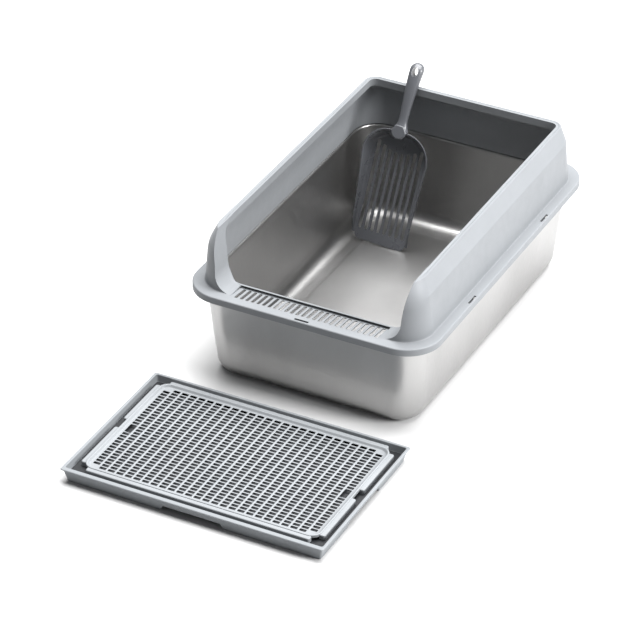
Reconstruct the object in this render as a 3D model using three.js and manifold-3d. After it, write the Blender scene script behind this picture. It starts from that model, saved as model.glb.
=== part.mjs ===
// Stainless steel litter box: a deep steel pan, a plastic surround with a low entry, a scoop that
// leans in the back left corner, and a two-piece litter mat that stands on the floor in front.
// Millimetres, +Z up, the entry faces -Y. The origin is the middle of the pan's underside.

import * as THREE from 'three';
import { mergeVertices } from 'three/addons/utils/BufferGeometryUtils.js';
import Module from 'manifold-3d';

// Fits and shared values
const fitGap = 0.3;              // clearance between pieces that touch
const overrun = 4;               // how far a cut runs past the material
const cornerSteps = 7;           // straight steps round one corner
const smallSteps = 3;            // straight steps round a small corner

// Surround: flange and skirt
const flangeWidth = 416;
const flangeLength = 622;
const flangeCorner = 58;
const flangePlate = 2.5;
const flangeEdgeRound = 2.2;
const skirtDrop = 11.5;
const skirtWall = 2.5;

// Surround: walls and rim
const sideLedge = 17;            // flange left free outside the wall, at the sides
const endLedge = 18.7;           // the same at the front and back
const footWall = 4.2;
const footFillet = 1.8;
const footCorner = 47;
const lowerWallHeight = 67;
const lowerLean = 6;
const creaseCorner = 38;
const upperWallHeight = 25.7;
const upperLean = 11.5;
const rimCorner = 20;
const rimWidth = 8.5;
const rimBand = 12.5;
const rimEdgeRound = 1.2;
const wall = 2.5;

// Surround: entry, posts and sill
const entryHalfWidth = 157;
const entryFillet = 28;
const sillTurn = 21;             // where the sill's edge starts to turn back to the posts
const entryFlare = 14;
const entryFlareHeight = 34;
const postDepth = 46;
const postTopRadius = 30;
const postInnerCorner = 12;
const sillDepth = 54;
const ridgeWidth = 3.5;
const ridgeRise = 0.4;
const panelHalfWidth = 127.5;
const panelDepth = 36.5;
const panelDrop = 4.4;            // how far the slotted panel has sunk where it meets the ridge
const panelSheet = 1.5;
const slotCount = 26;
const slotPitch = 9.5;
const slotWidth = 5.4;
const slotLength = 32;
const slotCorner = 1.8;

// Surround: catch lugs under six windows in the flange
const windowLength = 24;
const windowWidth = 4.5;
const sideWindowPlace = 134;     // from the middle of each long side
const lugHeight = 4;
const lugLift = 1;
const lugReach = 4.7;

// Steel pan
const panSheet = 1.2;
const panRimWidth = 14;
const panHeight = 160.2;
const panHem = 4;
const panHemRound = 0.6;
const panTaper = 12.5;
const panTaperPowerShare = 1.3;
const panBaseRadius = 25;
const panWallCorner = 42;
const panThroatRadius = 3;
const panWallShares = [0.37, 0.62, 0.85];

// Scoop
const shovelLength = 196;
const shovelRimHalfWidth = 60;
const shovelBaseHalfWidth = 51;
const shovelTipHalfWidth = 50;
const shovelShoulderRadius = 46;
const shovelTipRadius = 9;
const shovelDepth = 26;
const shovelTipWall = 7;
const shovelSheet = 2;
const shovelSlotCount = 8;
const shovelSlotPitch = 11;
const shovelSlotWidth = 6.2;
const shovelSlotTop = 26;
const shovelSlotDip = 14;
const shovelSlotFoot = 18;
const handleRingCount = 12;      // points round the handle
const tongueHalfWidth = 13;
const tongueDrop = 13;
const tongueThickness = 4;
const handleLength = 114;
const handleNeckHeight = 20;
const handleNeckHalfWidth = 7.5;
const handleEndHalfWidth = 12;
const handleNeckHalfThickness = 5.5;
const handleEndHalfThickness = 9;
const handleRootStand = 20;      // how far the root stands off the shovel's base
const handleBow = 16;
const handleBowPowerShare = 2.4;
const hangHoleHalfWidth = 5.5;
const hangHoleHalfLength = 8;
const hangHoleInset = 14;
const scoopLean = THREE.MathUtils.degToRad(22);
const scoopRoll = THREE.MathUtils.degToRad(3.2);
const scoopSideClearance = 6;

// Litter mat: tray
const trayWidth = 437.6;
const trayDepth = 290;
const trayHeight = 24.4;
const trayOffset = -11.8;        // the tray stands a little left of the box's middle
const trayDistance = 37.4;       // free floor between the box and the tray
const trayCorner = 3;
const trayTaper = 8;
const trayRim = 2;
const trayRimOverhang = 3;
const traySideRim = 5;
const trayFrontRim = 8;
const trayBackRim = 5;
const trayPocketTaper = 1.5;
const trayFloorTop = 12.5;
const trayFloor = 2;
const trayWall = 2.5;
const trayCutLength = 105;
const trayCutHeight = 10;
const trayCutSlope = 5;
const trayCutReach = 13;         // how far the cut-outs run in from the rim

// Litter mat: grid
const gridTop = 22.2;
const gridPlate = 2.6;
const gridSink = 3;               // how far the slotted field lies below the frame round it
const gridFrame = 5.5;
const gridCorner = 18;
const gridColumns = 26;
const gridRows = 11;
const gridSlotWidth = 11;
const gridRib = 3.5;
const gridCornerTrim = 8.5;
const gridWindowLength = 26;     // finger windows in the first and last columns
const gridBorder = 9.7;
const gridSideMargin = 8.8;      // free floor of the tray beside the grid's lips
const gridEndMargin = 5;         // the same in front and behind, on average
const gridBackGap = 0.7;         // what is left of it behind: the grid is pushed back
const lipWidth = 7;
const lipStepDown = 1.2;
const lipNotch = 24;
const lipCornerGap = 10;
const lipRoundShare = 0.5;

// Sizes that follow
const flangeHalf = [flangeWidth / 2, flangeLength / 2];
const footHalf = [flangeHalf[0] - sideLedge, flangeHalf[1] - endLedge];
const panRimInset = skirtWall + lugReach + fitGap;
const panRimHalf = [flangeHalf[0] - panRimInset, flangeHalf[1] - panRimInset];
const panRimCorner = flangeCorner - panRimInset;
const panWallHalf = [panRimHalf[0] - panRimWidth, panRimHalf[1] - panRimWidth];
const flangeTop = panHeight + fitGap + flangePlate;
const skirtBottom = flangeTop - skirtDrop;
const creaseZ = flangeTop + lowerWallHeight;
const rimTop = creaseZ + upperWallHeight;
const bandBottom = rimTop - rimBand;
const rimInner = [0, 1].map((i) => footHalf[i] - lowerLean - upperLean - rimWidth);
const sillInnerY = -(flangeHalf[1] - sillDepth);
const ridgeY = sillInnerY - ridgeWidth;
const postBackY = -(footHalf[1] - postDepth);
const boxFrontY = -flangeHalf[1];
const pocketTop = [trayWidth / 2 - traySideRim, (trayDepth - trayFrontRim - trayBackRim) / 2];
const pocketY = (trayFrontRim - trayBackRim) / 2;
const gridHalf = [
  pocketTop[0] - trayPocketTaper - gridSideMargin - lipWidth,
  pocketTop[1] - trayPocketTaper - gridEndMargin - lipWidth,
];
const gridY = pocketY + gridEndMargin - gridBackGap;
const fieldTop = gridTop - gridSink;
const gridColumnPitch = (2 * (gridHalf[0] - gridBorder) - gridSlotWidth) / (gridColumns - 1);
const gridRowPitch = (2 * (gridHalf[1] - gridBorder) + gridRib) / gridRows;

const wasm = await Module();
wasm.setup();

// Solids for joining and cutting

function toSolid(geometry) {
  const bare = new THREE.BufferGeometry();
  bare.setAttribute('position', geometry.getAttribute('position'));
  bare.setIndex(geometry.getIndex());
  const merged = mergeVertices(bare);
  const vertProperties = new Float32Array(merged.getAttribute('position').array);
  const triVerts = new Uint32Array(merged.getIndex().array);
  return new wasm.Manifold(new wasm.Mesh({ numProp: 3, vertProperties, triVerts }));
}

function toGeometry(body) {
  const mesh = body.getMesh();
  const geometry = new THREE.BufferGeometry();
  geometry.setAttribute('position', new THREE.Float32BufferAttribute(mesh.vertProperties, 3));
  geometry.setIndex([...mesh.triVerts]);
  geometry.computeVertexNormals();
  return geometry;
}

function cutAll(body, cutters) {
  return cutters.reduce((left, cutter) => left.subtract(cutter), body);
}

function joinAll(body, pieces) {
  return pieces.reduce((sum, piece) => sum.add(piece), body);
}

// Outlines and lofts

function corner(points, centre, radius, startQuarter, steps) {
  for (let i = 0; i <= steps; i++) {
    const angle = (startQuarter + i / steps) * (Math.PI / 2);
    points.push([centre[0] + radius * Math.cos(angle), centre[1] + radius * Math.sin(angle)]);
  }
}

function roundedRect(half, radius, steps = cornerSteps) {
  const [x, y] = [half[0] - radius, half[1] - radius];
  const points = [];
  corner(points, [x, y], radius, 0, steps);
  corner(points, [-x, y], radius, 1, steps);
  corner(points, [-x, -y], radius, 2, steps);
  corner(points, [x, -y], radius, 3, steps);
  return points;
}

function ring(outline, z) {
  return outline.map(([x, y]) => new THREE.Vector3(x, y, z));
}

function rectRing(half, radius, z, steps = cornerSteps) {
  return ring(roundedRect(half, radius, steps), z);
}

// Skins rings of equal point counts, each turning left seen from above, and caps both ends.
function loft(rings) {
  const count = rings[0].length;
  const index = [];
  for (let r = 0; r < rings.length - 1; r++) {
    for (let i = 0; i < count; i++) {
      const j = (i + 1) % count;
      const [a, b, c, d] = [r * count + i, r * count + j, (r + 1) * count + j, (r + 1) * count + i];
      index.push(a, b, c, a, c, d);
    }
  }
  const last = (rings.length - 1) * count;
  for (const face of cap(rings[0])) index.push(face[0], face[2], face[1]);
  for (const face of cap(rings[rings.length - 1])) index.push(...face.map((k) => k + last));
  const geometry = new THREE.BufferGeometry().setFromPoints(rings.flat());
  geometry.setIndex(index);
  return geometry;
}

function cap(points) {
  const flat = points.map((p) => new THREE.Vector2(p.x, p.y));
  return THREE.ShapeUtils.triangulateShape(flat, []);
}

function prism(outline, lowZ, highZ) {
  return toSolid(loft([ring(outline, lowZ), ring(outline, highZ)]));
}

function block(low, high) {
  const outline = [[low[0], low[1]], [high[0], low[1]], [high[0], high[1]], [low[0], high[1]]];
  return prism(outline, low[2], high[2]);
}

// A bar along X, as far to both sides, with the given outline in Y and Z.
function barAlongX(outline, half) {
  const bar = loft([ring(outline, -half), ring(outline, half)]);
  return bar.applyMatrix4(new THREE.Matrix4().makeBasis(
    new THREE.Vector3(0, 1, 0), new THREE.Vector3(0, 0, 1), new THREE.Vector3(1, 0, 0),
  ));
}

function inset(half, amount) {
  return [half[0] - amount, half[1] - amount];
}

function shift(outline, dx, dy) {
  return outline.map(([x, y]) => [x + dx, y + dy]);
}

// Steel pan

function panSection(z, sheet) {
  const rise = Math.max(1 - z / panHeight, 0);
  const lean = panTaper * rise ** panTaperPowerShare + sheet;
  return { half: inset(panWallHalf, lean), corner: panWallCorner - sheet };
}

// Rings up one face of the pan's base and wall, from the flat floor to the throat.
function panFace(sheet) {
  const radius = panBaseRadius - sheet;
  const foot = panSection(panBaseRadius, sheet);
  const rings = [];
  for (let i = 0; i <= smallSteps + 1; i++) {
    const angle = (i / (smallSteps + 1)) * (Math.PI / 2);
    const back = radius * (1 - Math.sin(angle));
    const z = sheet + radius * (1 - Math.cos(angle));
    rings.push(rectRing(inset(foot.half, back), foot.corner - back, z));
  }
  for (const share of panWallShares) {
    const z = panHeight * share;
    const section = panSection(z, sheet);
    rings.push(rectRing(section.half, section.corner, z));
  }
  return rings;
}

// The bend from the wall out into the rim.
function panThroat(sheet, faceZ, radius) {
  const rings = [];
  for (let i = 0; i <= smallSteps; i++) {
    const angle = (i / smallSteps) * (Math.PI / 2);
    const out = radius * (1 - Math.cos(angle)) - sheet;
    const half = inset(panWallHalf, -out);
    rings.push(rectRing(half, panWallCorner + out, faceZ - radius * (1 - Math.sin(angle))));
  }
  return rings;
}

function steelPan() {
  const hemHalf = inset(panRimHalf, panSheet);
  const hemCorner = panRimCorner - panSheet;
  const hemZ = panHeight - panHem;
  const under = panHeight - panSheet;
  const outside = [...panFace(0), ...panThroat(0, under, panThroatRadius)];
  const rim = [
    rectRing(hemHalf, hemCorner, under),
    rectRing(hemHalf, hemCorner, hemZ),
    rectRing(panRimHalf, panRimCorner, hemZ),
    rectRing(panRimHalf, panRimCorner, panHeight - panHemRound),
    rectRing(inset(panRimHalf, panHemRound), panRimCorner - panHemRound, panHeight),
  ];
  const inside = [...panFace(panSheet), ...panThroat(panSheet, panHeight, panThroatRadius + panSheet)];
  return loft([...outside, ...rim, ...inside.reverse()]);
}

// Surround

function wallHalf(z) {
  const low = Math.min(Math.max((z - flangeTop) / lowerWallHeight, 0), 1);
  const high = Math.min(Math.max((z - creaseZ) / upperWallHeight, 0), 1);
  return inset(footHalf, low * lowerLean + high * upperLean);
}

function wallCorner(z) {
  const low = Math.min(Math.max((z - flangeTop) / lowerWallHeight, 0), 1);
  const high = Math.min(Math.max((z - creaseZ) / upperWallHeight, 0), 1);
  return footCorner + low * (creaseCorner - footCorner) + high * (rimCorner - creaseCorner);
}

function surroundBody() {
  const rings = [rectRing(flangeHalf, flangeCorner, skirtBottom)];
  for (let i = 0; i <= smallSteps; i++) {
    const angle = (i / smallSteps) * (Math.PI / 2);
    const back = flangeEdgeRound * (1 - Math.cos(angle));
    const z = flangeTop - flangeEdgeRound * (1 - Math.sin(angle));
    rings.push(rectRing(inset(flangeHalf, back), flangeCorner - back, z));
  }
  for (let i = 0; i <= smallSteps; i++) {
    const angle = (i / smallSteps) * (Math.PI / 2);
    const out = footFillet * (1 - Math.sin(angle));
    const z = flangeTop + footFillet * (1 - Math.cos(angle));
    rings.push(rectRing(inset(footHalf, -out), footCorner + out, z));
  }
  rings.push(rectRing(wallHalf(creaseZ), creaseCorner, creaseZ));
  const rimEdge = rimTop - rimEdgeRound;
  rings.push(rectRing(wallHalf(rimEdge), wallCorner(rimEdge), rimEdge));
  const topHalf = inset(wallHalf(rimTop), rimEdgeRound);
  rings.push(rectRing(topHalf, rimCorner - rimEdgeRound, rimTop));
  return toSolid(loft(rings));
}

// Plan outline of the space inside the walls: the sill's edge, two entry posts, sides and back.
function cavityOutline(half, backCorner, postY) {
  const right = [];
  const [sillX, postX] = [entryHalfWidth - sillTurn, entryHalfWidth];
  for (let i = 0; i <= cornerSteps; i++) {
    const t = i / cornerSteps;
    const ease = (1 - Math.cos(Math.PI * t)) / 2;
    right.push([sillX + t * (postX - sillX), sillInnerY + ease * (postY - sillInnerY)]);
  }
  const centre = [half[0] - postInnerCorner, postY + postInnerCorner];
  corner(right, centre, postInnerCorner, 3, smallSteps);
  corner(right, [half[0] - backCorner, half[1] - backCorner], backCorner, 0, cornerSteps);
  const left = right.map(([x, y]) => [-x, y]).reverse();
  return [...right, ...left];
}

function postBackAt(z) {
  const rise = Math.min(Math.max(z - (rimTop - postTopRadius), 0), postTopRadius);
  return postBackY + postTopRadius - Math.sqrt(postTopRadius ** 2 - rise ** 2);
}

function cavityRing(z, thickness) {
  const half = inset(wallHalf(z), thickness);
  return ring(cavityOutline(half, Math.max(wallCorner(z) - thickness, wall), postBackAt(z)), z);
}

function surroundCavity() {
  const arcStart = rimTop - postTopRadius;
  const low = cavityRing(flangeTop, footWall).map((p) => p.clone().setZ(skirtBottom - overrun));
  const rings = [low, cavityRing(flangeTop, footWall), cavityRing(arcStart, wall)];
  rings.push(cavityRing(creaseZ, wall), cavityRing((creaseZ + bandBottom) / 2, wall));
  rings.push(cavityRing(bandBottom, wall));
  for (let i = 0; i <= smallSteps; i++) {
    const z = bandBottom + (i / smallSteps) * rimBand;
    const band = cavityOutline(rimInner, rimCorner - rimWidth, postBackAt(z));
    rings.push(ring(band, z));
  }
  rings.push(rings[rings.length - 1].map((p) => p.clone().setZ(rimTop + overrun)));
  return toSolid(loft(rings));
}

// Entry opening: round lower corners at the sill, a flare where the posts run up into the rim.
function entryOutline(flare) {
  const right = [];
  const fillet = [entryHalfWidth - entryFillet, flangeTop + entryFillet];
  corner(right, fillet, entryFillet, 3, cornerSteps);
  for (let i = 0; i <= cornerSteps; i++) {
    const t = i / cornerSteps;
    const z = rimTop - entryFlareHeight * (1 - t);
    right.push([entryHalfWidth + flare * t ** 2, z]);
  }
  const end = right[right.length - 1];
  right.push([end[0] + flare / entryFlareHeight, rimTop + overrun]);
  const left = right.map(([x, z]) => [-x, z]).reverse();
  return [...right, ...left];
}

function entryCut() {
  const backFlare = rimInner[0] - entryHalfWidth;
  const frontY = flangeHalf[1] + overrun;
  const cornerY = footHalf[1] - footCorner / 2;
  const geometry = loft([
    ring(entryOutline(backFlare), -postBackAt(rimTop) - overrun),
    ring(entryOutline(backFlare), -postBackAt(rimTop)),
    ring(entryOutline(entryFlare), cornerY),
    ring(entryOutline(entryFlare), frontY),
  ]);
  return toSolid(geometry.rotateX(Math.PI / 2));
}

// Hollow of the entry posts, open below.
function postCores() {
  const low = skirtBottom - overrun;
  const high = bandBottom - wall;
  const inner = toSolid(loft([
    rectRing(inset(footHalf, wall), footCorner - wall, low),
    rectRing(inset(footHalf, wall), footCorner - wall, flangeTop),
    rectRing(inset(wallHalf(creaseZ), wall), creaseCorner - wall, creaseZ),
    rectRing(inset(wallHalf(high), wall), wallCorner(high) - wall, high),
  ]));
  const front = boxFrontY - overrun;
  const back = postBackY - wall;
  const x = entryHalfWidth + wall;
  const rightPost = block([x, front, low], [flangeHalf[0], back, high]);
  const leftPost = block([-flangeHalf[0], front, low], [-x, back, high]);
  return [inner.intersect(rightPost), inner.intersect(leftPost)];
}

// The slotted panel of the sill leans down from its front edge to the ridge.
function sillCuts() {
  const frontY = ridgeY - panelDepth;
  const sunk = [
    [frontY, flangeTop], [ridgeY, flangeTop - panelDrop],
    [ridgeY, flangeTop + overrun], [frontY, flangeTop + overrun],
  ];
  const cuts = [toSolid(barAlongX(sunk, panelHalfWidth))];
  const slotY = (ridgeY + frontY) / 2;
  const slot = roundedRect([slotWidth / 2, slotLength / 2], slotCorner, smallSteps - 1);
  for (let i = 0; i < slotCount; i++) {
    const x = (i - (slotCount - 1) / 2) * slotPitch;
    cuts.push(prism(shift(slot, x, slotY), flangeTop - panelDrop - overrun, flangeTop + overrun));
  }
  return cuts;
}

// The ridge along the sill's inner edge, with the sheet under the slotted panel.
function sillRidge() {
  const under = flangeTop - flangePlate;
  const outline = [
    [ridgeY - panelDepth, under], [panSheet - panWallHalf[1], under],
    [sillInnerY, flangeTop - panelDrop - panelSheet], [sillInnerY, flangeTop + ridgeRise],
    [ridgeY, flangeTop + ridgeRise], [ridgeY, flangeTop], [ridgeY - panelDepth, flangeTop],
  ];
  return toSolid(barAlongX(outline, entryHalfWidth - sillTurn));
}

// The six places along the flange edge: the point on the edge, and the way out of it.
function windowPlaces() {
  const places = [{ at: [0, flangeHalf[1]], out: [0, 1] }, { at: [0, -flangeHalf[1]], out: [0, -1] }];
  for (const side of [-1, 1]) {
    for (const end of [-1, 1]) {
      places.push({ at: [side * flangeHalf[0], end * sideWindowPlace], out: [side, 0] });
    }
  }
  return places;
}

// A block beside the flange edge, between two distances in from it.
function edgeBlock(place, near, far, lowZ, highZ) {
  const along = [Math.abs(place.out[1]), Math.abs(place.out[0])];
  const half = windowLength / 2;
  const corners = [near, far].flatMap((d) => [-half, half].map((s) => [
    place.at[0] - place.out[0] * d + along[0] * s,
    place.at[1] - place.out[1] * d + along[1] * s,
  ]));
  const [xs, ys] = [corners.map((p) => p[0]), corners.map((p) => p[1])];
  const low = [Math.min(...xs), Math.min(...ys), lowZ];
  return block(low, [Math.max(...xs), Math.max(...ys), highZ]);
}

function surround() {
  const plateLow = flangeTop - flangePlate;
  const underHalf = inset(flangeHalf, skirtWall);
  const under = toSolid(loft([
    rectRing(underHalf, flangeCorner - skirtWall, skirtBottom - overrun),
    rectRing(underHalf, flangeCorner - skirtWall, plateLow),
  ]));
  let body = cutAll(surroundBody(), [under, surroundCavity(), entryCut(), ...postCores()]);
  body = body.add(sillRidge());
  body = cutAll(body, sillCuts());
  const lugLow = skirtBottom + lugLift;
  for (const place of windowPlaces()) {
    const far = skirtWall + windowWidth;
    body = body.subtract(edgeBlock(place, skirtWall, far, plateLow - overrun / 2, flangeTop + overrun));
    const lug = edgeBlock(place, skirtWall / 2, skirtWall + lugReach, lugLow, lugLow + lugHeight);
    body = body.add(lug);
  }
  return toGeometry(body);
}

// Scoop, drawn flat: the shovel's shoulder at y = 0 and its tip at -y, the open side up

function shovelOutline(halfWidth, tipHalf, top, tip, shoulder, tipCorner) {
  const right = [];
  corner(right, [tipHalf - tipCorner, tip + tipCorner], tipCorner, 3, smallSteps);
  corner(right, [halfWidth - shoulder, top - shoulder], shoulder, 0, cornerSteps);
  const left = right.map(([x, y]) => [-x, y]).reverse();
  return [...right, ...left];
}

function shovelRing(share, skin, tip, z) {
  const half = shovelBaseHalfWidth + share * (shovelRimHalfWidth - shovelBaseHalfWidth) - skin;
  const top = -(1 - share) * (shovelRimHalfWidth - shovelBaseHalfWidth) - skin;
  const tipHalf = shovelTipHalfWidth - skin;
  return ring(shovelOutline(half, tipHalf, top, tip, shovelShoulderRadius - skin, shovelTipRadius), z);
}

function shovelSlots() {
  const slots = [];
  for (let i = 0; i < shovelSlotCount; i++) {
    const place = i - (shovelSlotCount - 1) / 2;
    const x = place * shovelSlotPitch;
    const edge = Math.abs(place) / ((shovelSlotCount - 1) / 2);
    const top = -(shovelSlotTop + shovelSlotDip * Math.cos((edge * Math.PI) / 2));
    const foot = -(shovelLength - shovelSlotFoot);
    const half = [shovelSlotWidth / 2, (top - foot) / 2];
    const outline = shift(roundedRect(half, shovelSlotWidth / 2, smallSteps), x, (top + foot) / 2);
    slots.push(prism(outline, -overrun, shovelSheet + overrun));
  }
  return slots;
}

function scoopShovel() {
  const outside = toSolid(loft([
    shovelRing(0, 0, -shovelLength, 0),
    shovelRing(1, 0, -shovelLength, shovelDepth),
  ]));
  const past = -shovelLength - shovelDepth;
  const inside = toSolid(loft([
    shovelRing(0, shovelSheet, past, shovelSheet),
    shovelRing(1, shovelSheet, past, shovelDepth + overrun),
  ]));
  const slope = [
    [0, shovelDepth], [overrun, shovelDepth], [overrun, shovelDepth + overrun],
    [past, shovelDepth + overrun], [past, shovelTipWall], [-shovelLength, shovelTipWall],
  ];
  const low = shovelRimHalfWidth + overrun;
  const body = cutAll(outside, [inside, toSolid(barAlongX(slope, low)), ...shovelSlots()]);
  return toGeometry(body).rotateX(Math.PI / 2);
}

// Handle, drawn upright: -Y is the shovel's open side

function handleCentre(z) {
  const t = Math.max(z / handleLength, 0);
  return handleRootStand - handleBow * t ** handleBowPowerShare;
}

// The handle swells from its neck to its end: to both sides, and forwards only.
function handleRing(z, endShrink) {
  const t = Math.min(Math.max((z - handleNeckHeight) / (handleLength - handleNeckHeight), 0), 1);
  const swell = t * (handleEndHalfThickness - handleNeckHalfThickness);
  const root = Math.min(Math.max(1 - z / handleNeckHeight, 0), 1);
  const neck = handleNeckHalfWidth + t * (handleEndHalfWidth - handleNeckHalfWidth);
  const halfWidth = (neck + root ** 2 * (tongueHalfWidth - handleNeckHalfWidth)) * endShrink;
  const rootReach = shovelDepth + fitGap + tongueThickness - handleRootStand;
  const bulk = handleNeckHalfThickness + root ** 2 * (rootReach - handleNeckHalfThickness);
  const halfThick = (bulk + swell) * endShrink;
  const middle = -handleCentre(z) - swell;
  const points = [];
  for (let i = 0; i < handleRingCount; i++) {
    const angle = (i / handleRingCount) * 2 * Math.PI;
    const x = halfWidth * Math.cos(angle);
    points.push(new THREE.Vector3(x, halfThick * Math.sin(angle) + middle, z));
  }
  return points;
}

function scoopHandle() {
  const rings = [];
  const roundStart = handleLength - handleEndHalfWidth;
  const rootStart = fitGap;
  const steps = cornerSteps + smallSteps;
  for (let i = 0; i <= steps; i++) {
    rings.push(handleRing(rootStart + ((roundStart - rootStart) * i) / steps, 1));
  }
  for (let i = 1; i <= smallSteps + 1; i++) {
    const angle = (i / (smallSteps + 2)) * (Math.PI / 2);
    rings.push(handleRing(roundStart + handleEndHalfWidth * Math.sin(angle), Math.cos(angle)));
  }
  let body = toSolid(loft(rings));
  const tongue = [];
  const low = shovelDepth + fitGap;
  corner(tongue, [0, tongueHalfWidth - tongueDrop], tongueHalfWidth, 2, cornerSteps);
  corner(tongue, [0, tongueHalfWidth - tongueDrop], tongueHalfWidth, 3, cornerSteps);
  tongue.push([handleNeckHalfWidth, handleNeckHeight / 2], [-handleNeckHalfWidth, handleNeckHeight / 2]);
  const plate = loft([ring(tongue, low), ring(tongue, low + tongueThickness)]).rotateX(Math.PI / 2);
  body = body.add(toSolid(plate));
  const holeZ = handleLength - hangHoleInset;
  const hole = [];
  corner(hole, [0, 0], 1, 0, cornerSteps - 1);
  for (let quarter = 1; quarter < 4; quarter++) corner(hole, [0, 0], 1, quarter, cornerSteps - 1);
  const scaled = hole.map(([x, y]) => [x * hangHoleHalfWidth, y * hangHoleHalfLength + holeZ]);
  const reach = handleRootStand + shovelDepth;
  const pin = loft([ring(scaled, -reach), ring(scaled, reach)]).rotateX(Math.PI / 2);
  return toGeometry(body.subtract(toSolid(pin)));
}

// Litter mat, drawn round its own middle

function tray() {
  const half = [trayWidth / 2, trayDepth / 2];
  const under = trayHeight - trayRim;
  const steps = smallSteps - 1;
  const shell = toSolid(loft([
    rectRing(inset(half, trayTaper), trayCorner, 0, steps),
    rectRing(inset(half, trayRimOverhang), trayCorner, under, steps),
    rectRing(half, trayCorner, under, steps),
    rectRing(half, trayCorner, trayHeight, steps),
  ]));
  const pocket = toSolid(loft([
    rectRing(inset(pocketTop, trayPocketTaper), trayCorner, trayFloorTop, steps),
    rectRing(pocketTop, trayCorner, trayHeight, steps),
    rectRing(pocketTop, trayCorner, trayHeight + overrun, steps),
  ])).translate([0, pocketY, 0]);
  const roof = trayFloorTop - trayFloor;
  const roofLean = trayTaper + ((trayRimOverhang - trayTaper) * roof) / under;
  const hollow = toSolid(loft([
    rectRing(inset(half, trayTaper + trayWall), trayCorner, -overrun, steps),
    rectRing(inset(half, trayTaper + trayWall), trayCorner, 0, steps),
    rectRing(inset(half, roofLean + trayWall), trayCorner, roof, steps),
  ]));
  return toGeometry(cutAll(shell, [pocket, hollow, ...trayCuts(half)]));
}

// Finger cut-outs in the middle of the tray's four sides, with slanted ends.
function trayCuts(half) {
  const [low, high] = [trayCutLength / 2, trayCutLength / 2 - trayCutSlope];
  const outline = [[-low, -overrun], [low, -overrun], [low, 0], [high, trayCutHeight],
    [-high, trayCutHeight], [-low, 0]];
  const cuts = [];
  for (const side of [0, 1]) {
    for (const way of [-1, 1]) {
      const reach = half[1 - side];
      const near = reach - trayCutReach;
      const cut = loft([ring(outline, near), ring(outline, reach + overrun)]).rotateX(Math.PI / 2);
      cut.rotateZ((side * Math.PI) / 2 + (way > 0 ? Math.PI : 0));
      cuts.push(toSolid(cut));
    }
  }
  return cuts;
}

// How far one slot runs along Y. In the first and last columns the middle slot is a longer finger
// window, its neighbours give way to it, and the end slots stay clear of the round corners.
function gridSlotSpan(row, outer) {
  const middle = (gridRows - 1) / 2;
  const half = (gridRowPitch - gridRib) / 2;
  const y = (row - middle) * gridRowPitch;
  if (!outer) return [y - half, y + half];
  const windowHalf = gridWindowLength / 2;
  if (row === middle) return [-windowHalf, windowHalf];
  const low = row === 0 ? y - half + gridCornerTrim : y - half;
  const high = row === gridRows - 1 ? y + half - gridCornerTrim : y + half;
  if (row === middle + 1) return [windowHalf + gridRib, high];
  if (row === middle - 1) return [low, -windowHalf - gridRib];
  return [low, high];
}

function gridSlots() {
  const slots = [];
  const [low, high] = [fieldTop - gridPlate - overrun, gridTop + overrun];
  const half = gridSlotWidth / 2;
  for (let column = 0; column < gridColumns; column++) {
    const outer = column === 0 || column === gridColumns - 1;
    const x = (column - (gridColumns - 1) / 2) * gridColumnPitch;
    for (let row = 0; row < gridRows; row++) {
      const [front, back] = gridSlotSpan(row, outer);
      slots.push(block([x - half, front, low], [x + half, back, high]));
    }
  }
  return slots;
}

function gridPlateSolid() {
  const plate = prism(roundedRect(gridHalf, gridCorner), fieldTop - gridPlate, gridTop);
  const field = roundedRect(inset(gridHalf, gridFrame), gridCorner - gridFrame);
  return cutAll(plate, [prism(field, fieldTop, gridTop + overrun), ...gridSlots()]);
}

// Lips along the four sides that carry the grid on the tray's floor, left open at the corners.
function gridLips() {
  const foot = trayFloorTop + fitGap;
  const top = gridTop - lipStepDown;
  const overlap = lipWidth / 2;
  const across = (lipWidth + overlap) / 2;
  const lips = [];
  const reach = inset(gridHalf, lipCornerGap);
  const round = lipWidth * lipRoundShare;
  for (const way of [-1, 1]) {
    const long = roundedRect([reach[0], across], round, smallSteps);
    lips.push(prism(shift(long, 0, way * (gridHalf[1] - overlap + across)), foot, top));
    for (const end of [-1, 1]) {
      const length = (reach[1] - lipNotch / 2) / 2;
      const short = roundedRect([across, length], round, smallSteps);
      const y = end * (reach[1] - length);
      lips.push(prism(shift(short, way * (gridHalf[0] - overlap + across), y), foot, top));
    }
  }
  return lips;
}

function grid() {
  return toGeometry(joinAll(gridPlateSolid(), gridLips()));
}

// Finishes

const steel = new THREE.MeshStandardMaterial({ color: 0xb4b4b4, metalness: 1, roughness: 0.35 });
const greyPlastic = new THREE.MeshStandardMaterial({ color: 0x9aa1a8, metalness: 0, roughness: 0.5 });
const slatePlastic = new THREE.MeshStandardMaterial({ color: 0x4d4f54, metalness: 0, roughness: 0.35 });
const trayPlastic = new THREE.MeshStandardMaterial({ color: 0x868d94, metalness: 0, roughness: 0.5 });
const gridPlastic = new THREE.MeshStandardMaterial({ color: 0xa0a7ae, metalness: 0, roughness: 0.45 });

function piece(name, geometry, material) {
  const mesh = new THREE.Mesh(geometry, material);
  mesh.name = name;
  return mesh;
}

// Assembly

function scoop() {
  const group = new THREE.Group();
  const handle = piece('scoop_handle', scoopHandle(), slatePlastic);
  const shovel = piece('scoop_shovel', scoopShovel(), slatePlastic);
  group.add(handle, shovel);
  group.rotation.set(-scoopLean, scoopRoll, 0, 'YXZ');
  const floorHalf = panSection(panBaseRadius, panSheet).half[0] - panBaseRadius + panSheet;
  group.position.x = -(floorHalf - shovelTipHalfWidth - scoopSideClearance);
  group.updateMatrixWorld(true);
  const box = new THREE.Box3().setFromObject(shovel, true);
  group.position.z = panSheet + fitGap - box.min.z;
  group.updateMatrixWorld(true);
  group.position.y = rimInner[1] - fitGap / Math.cos(scoopLean) - backOfHandleAt(rimTop, group);
  return group;
}

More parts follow.
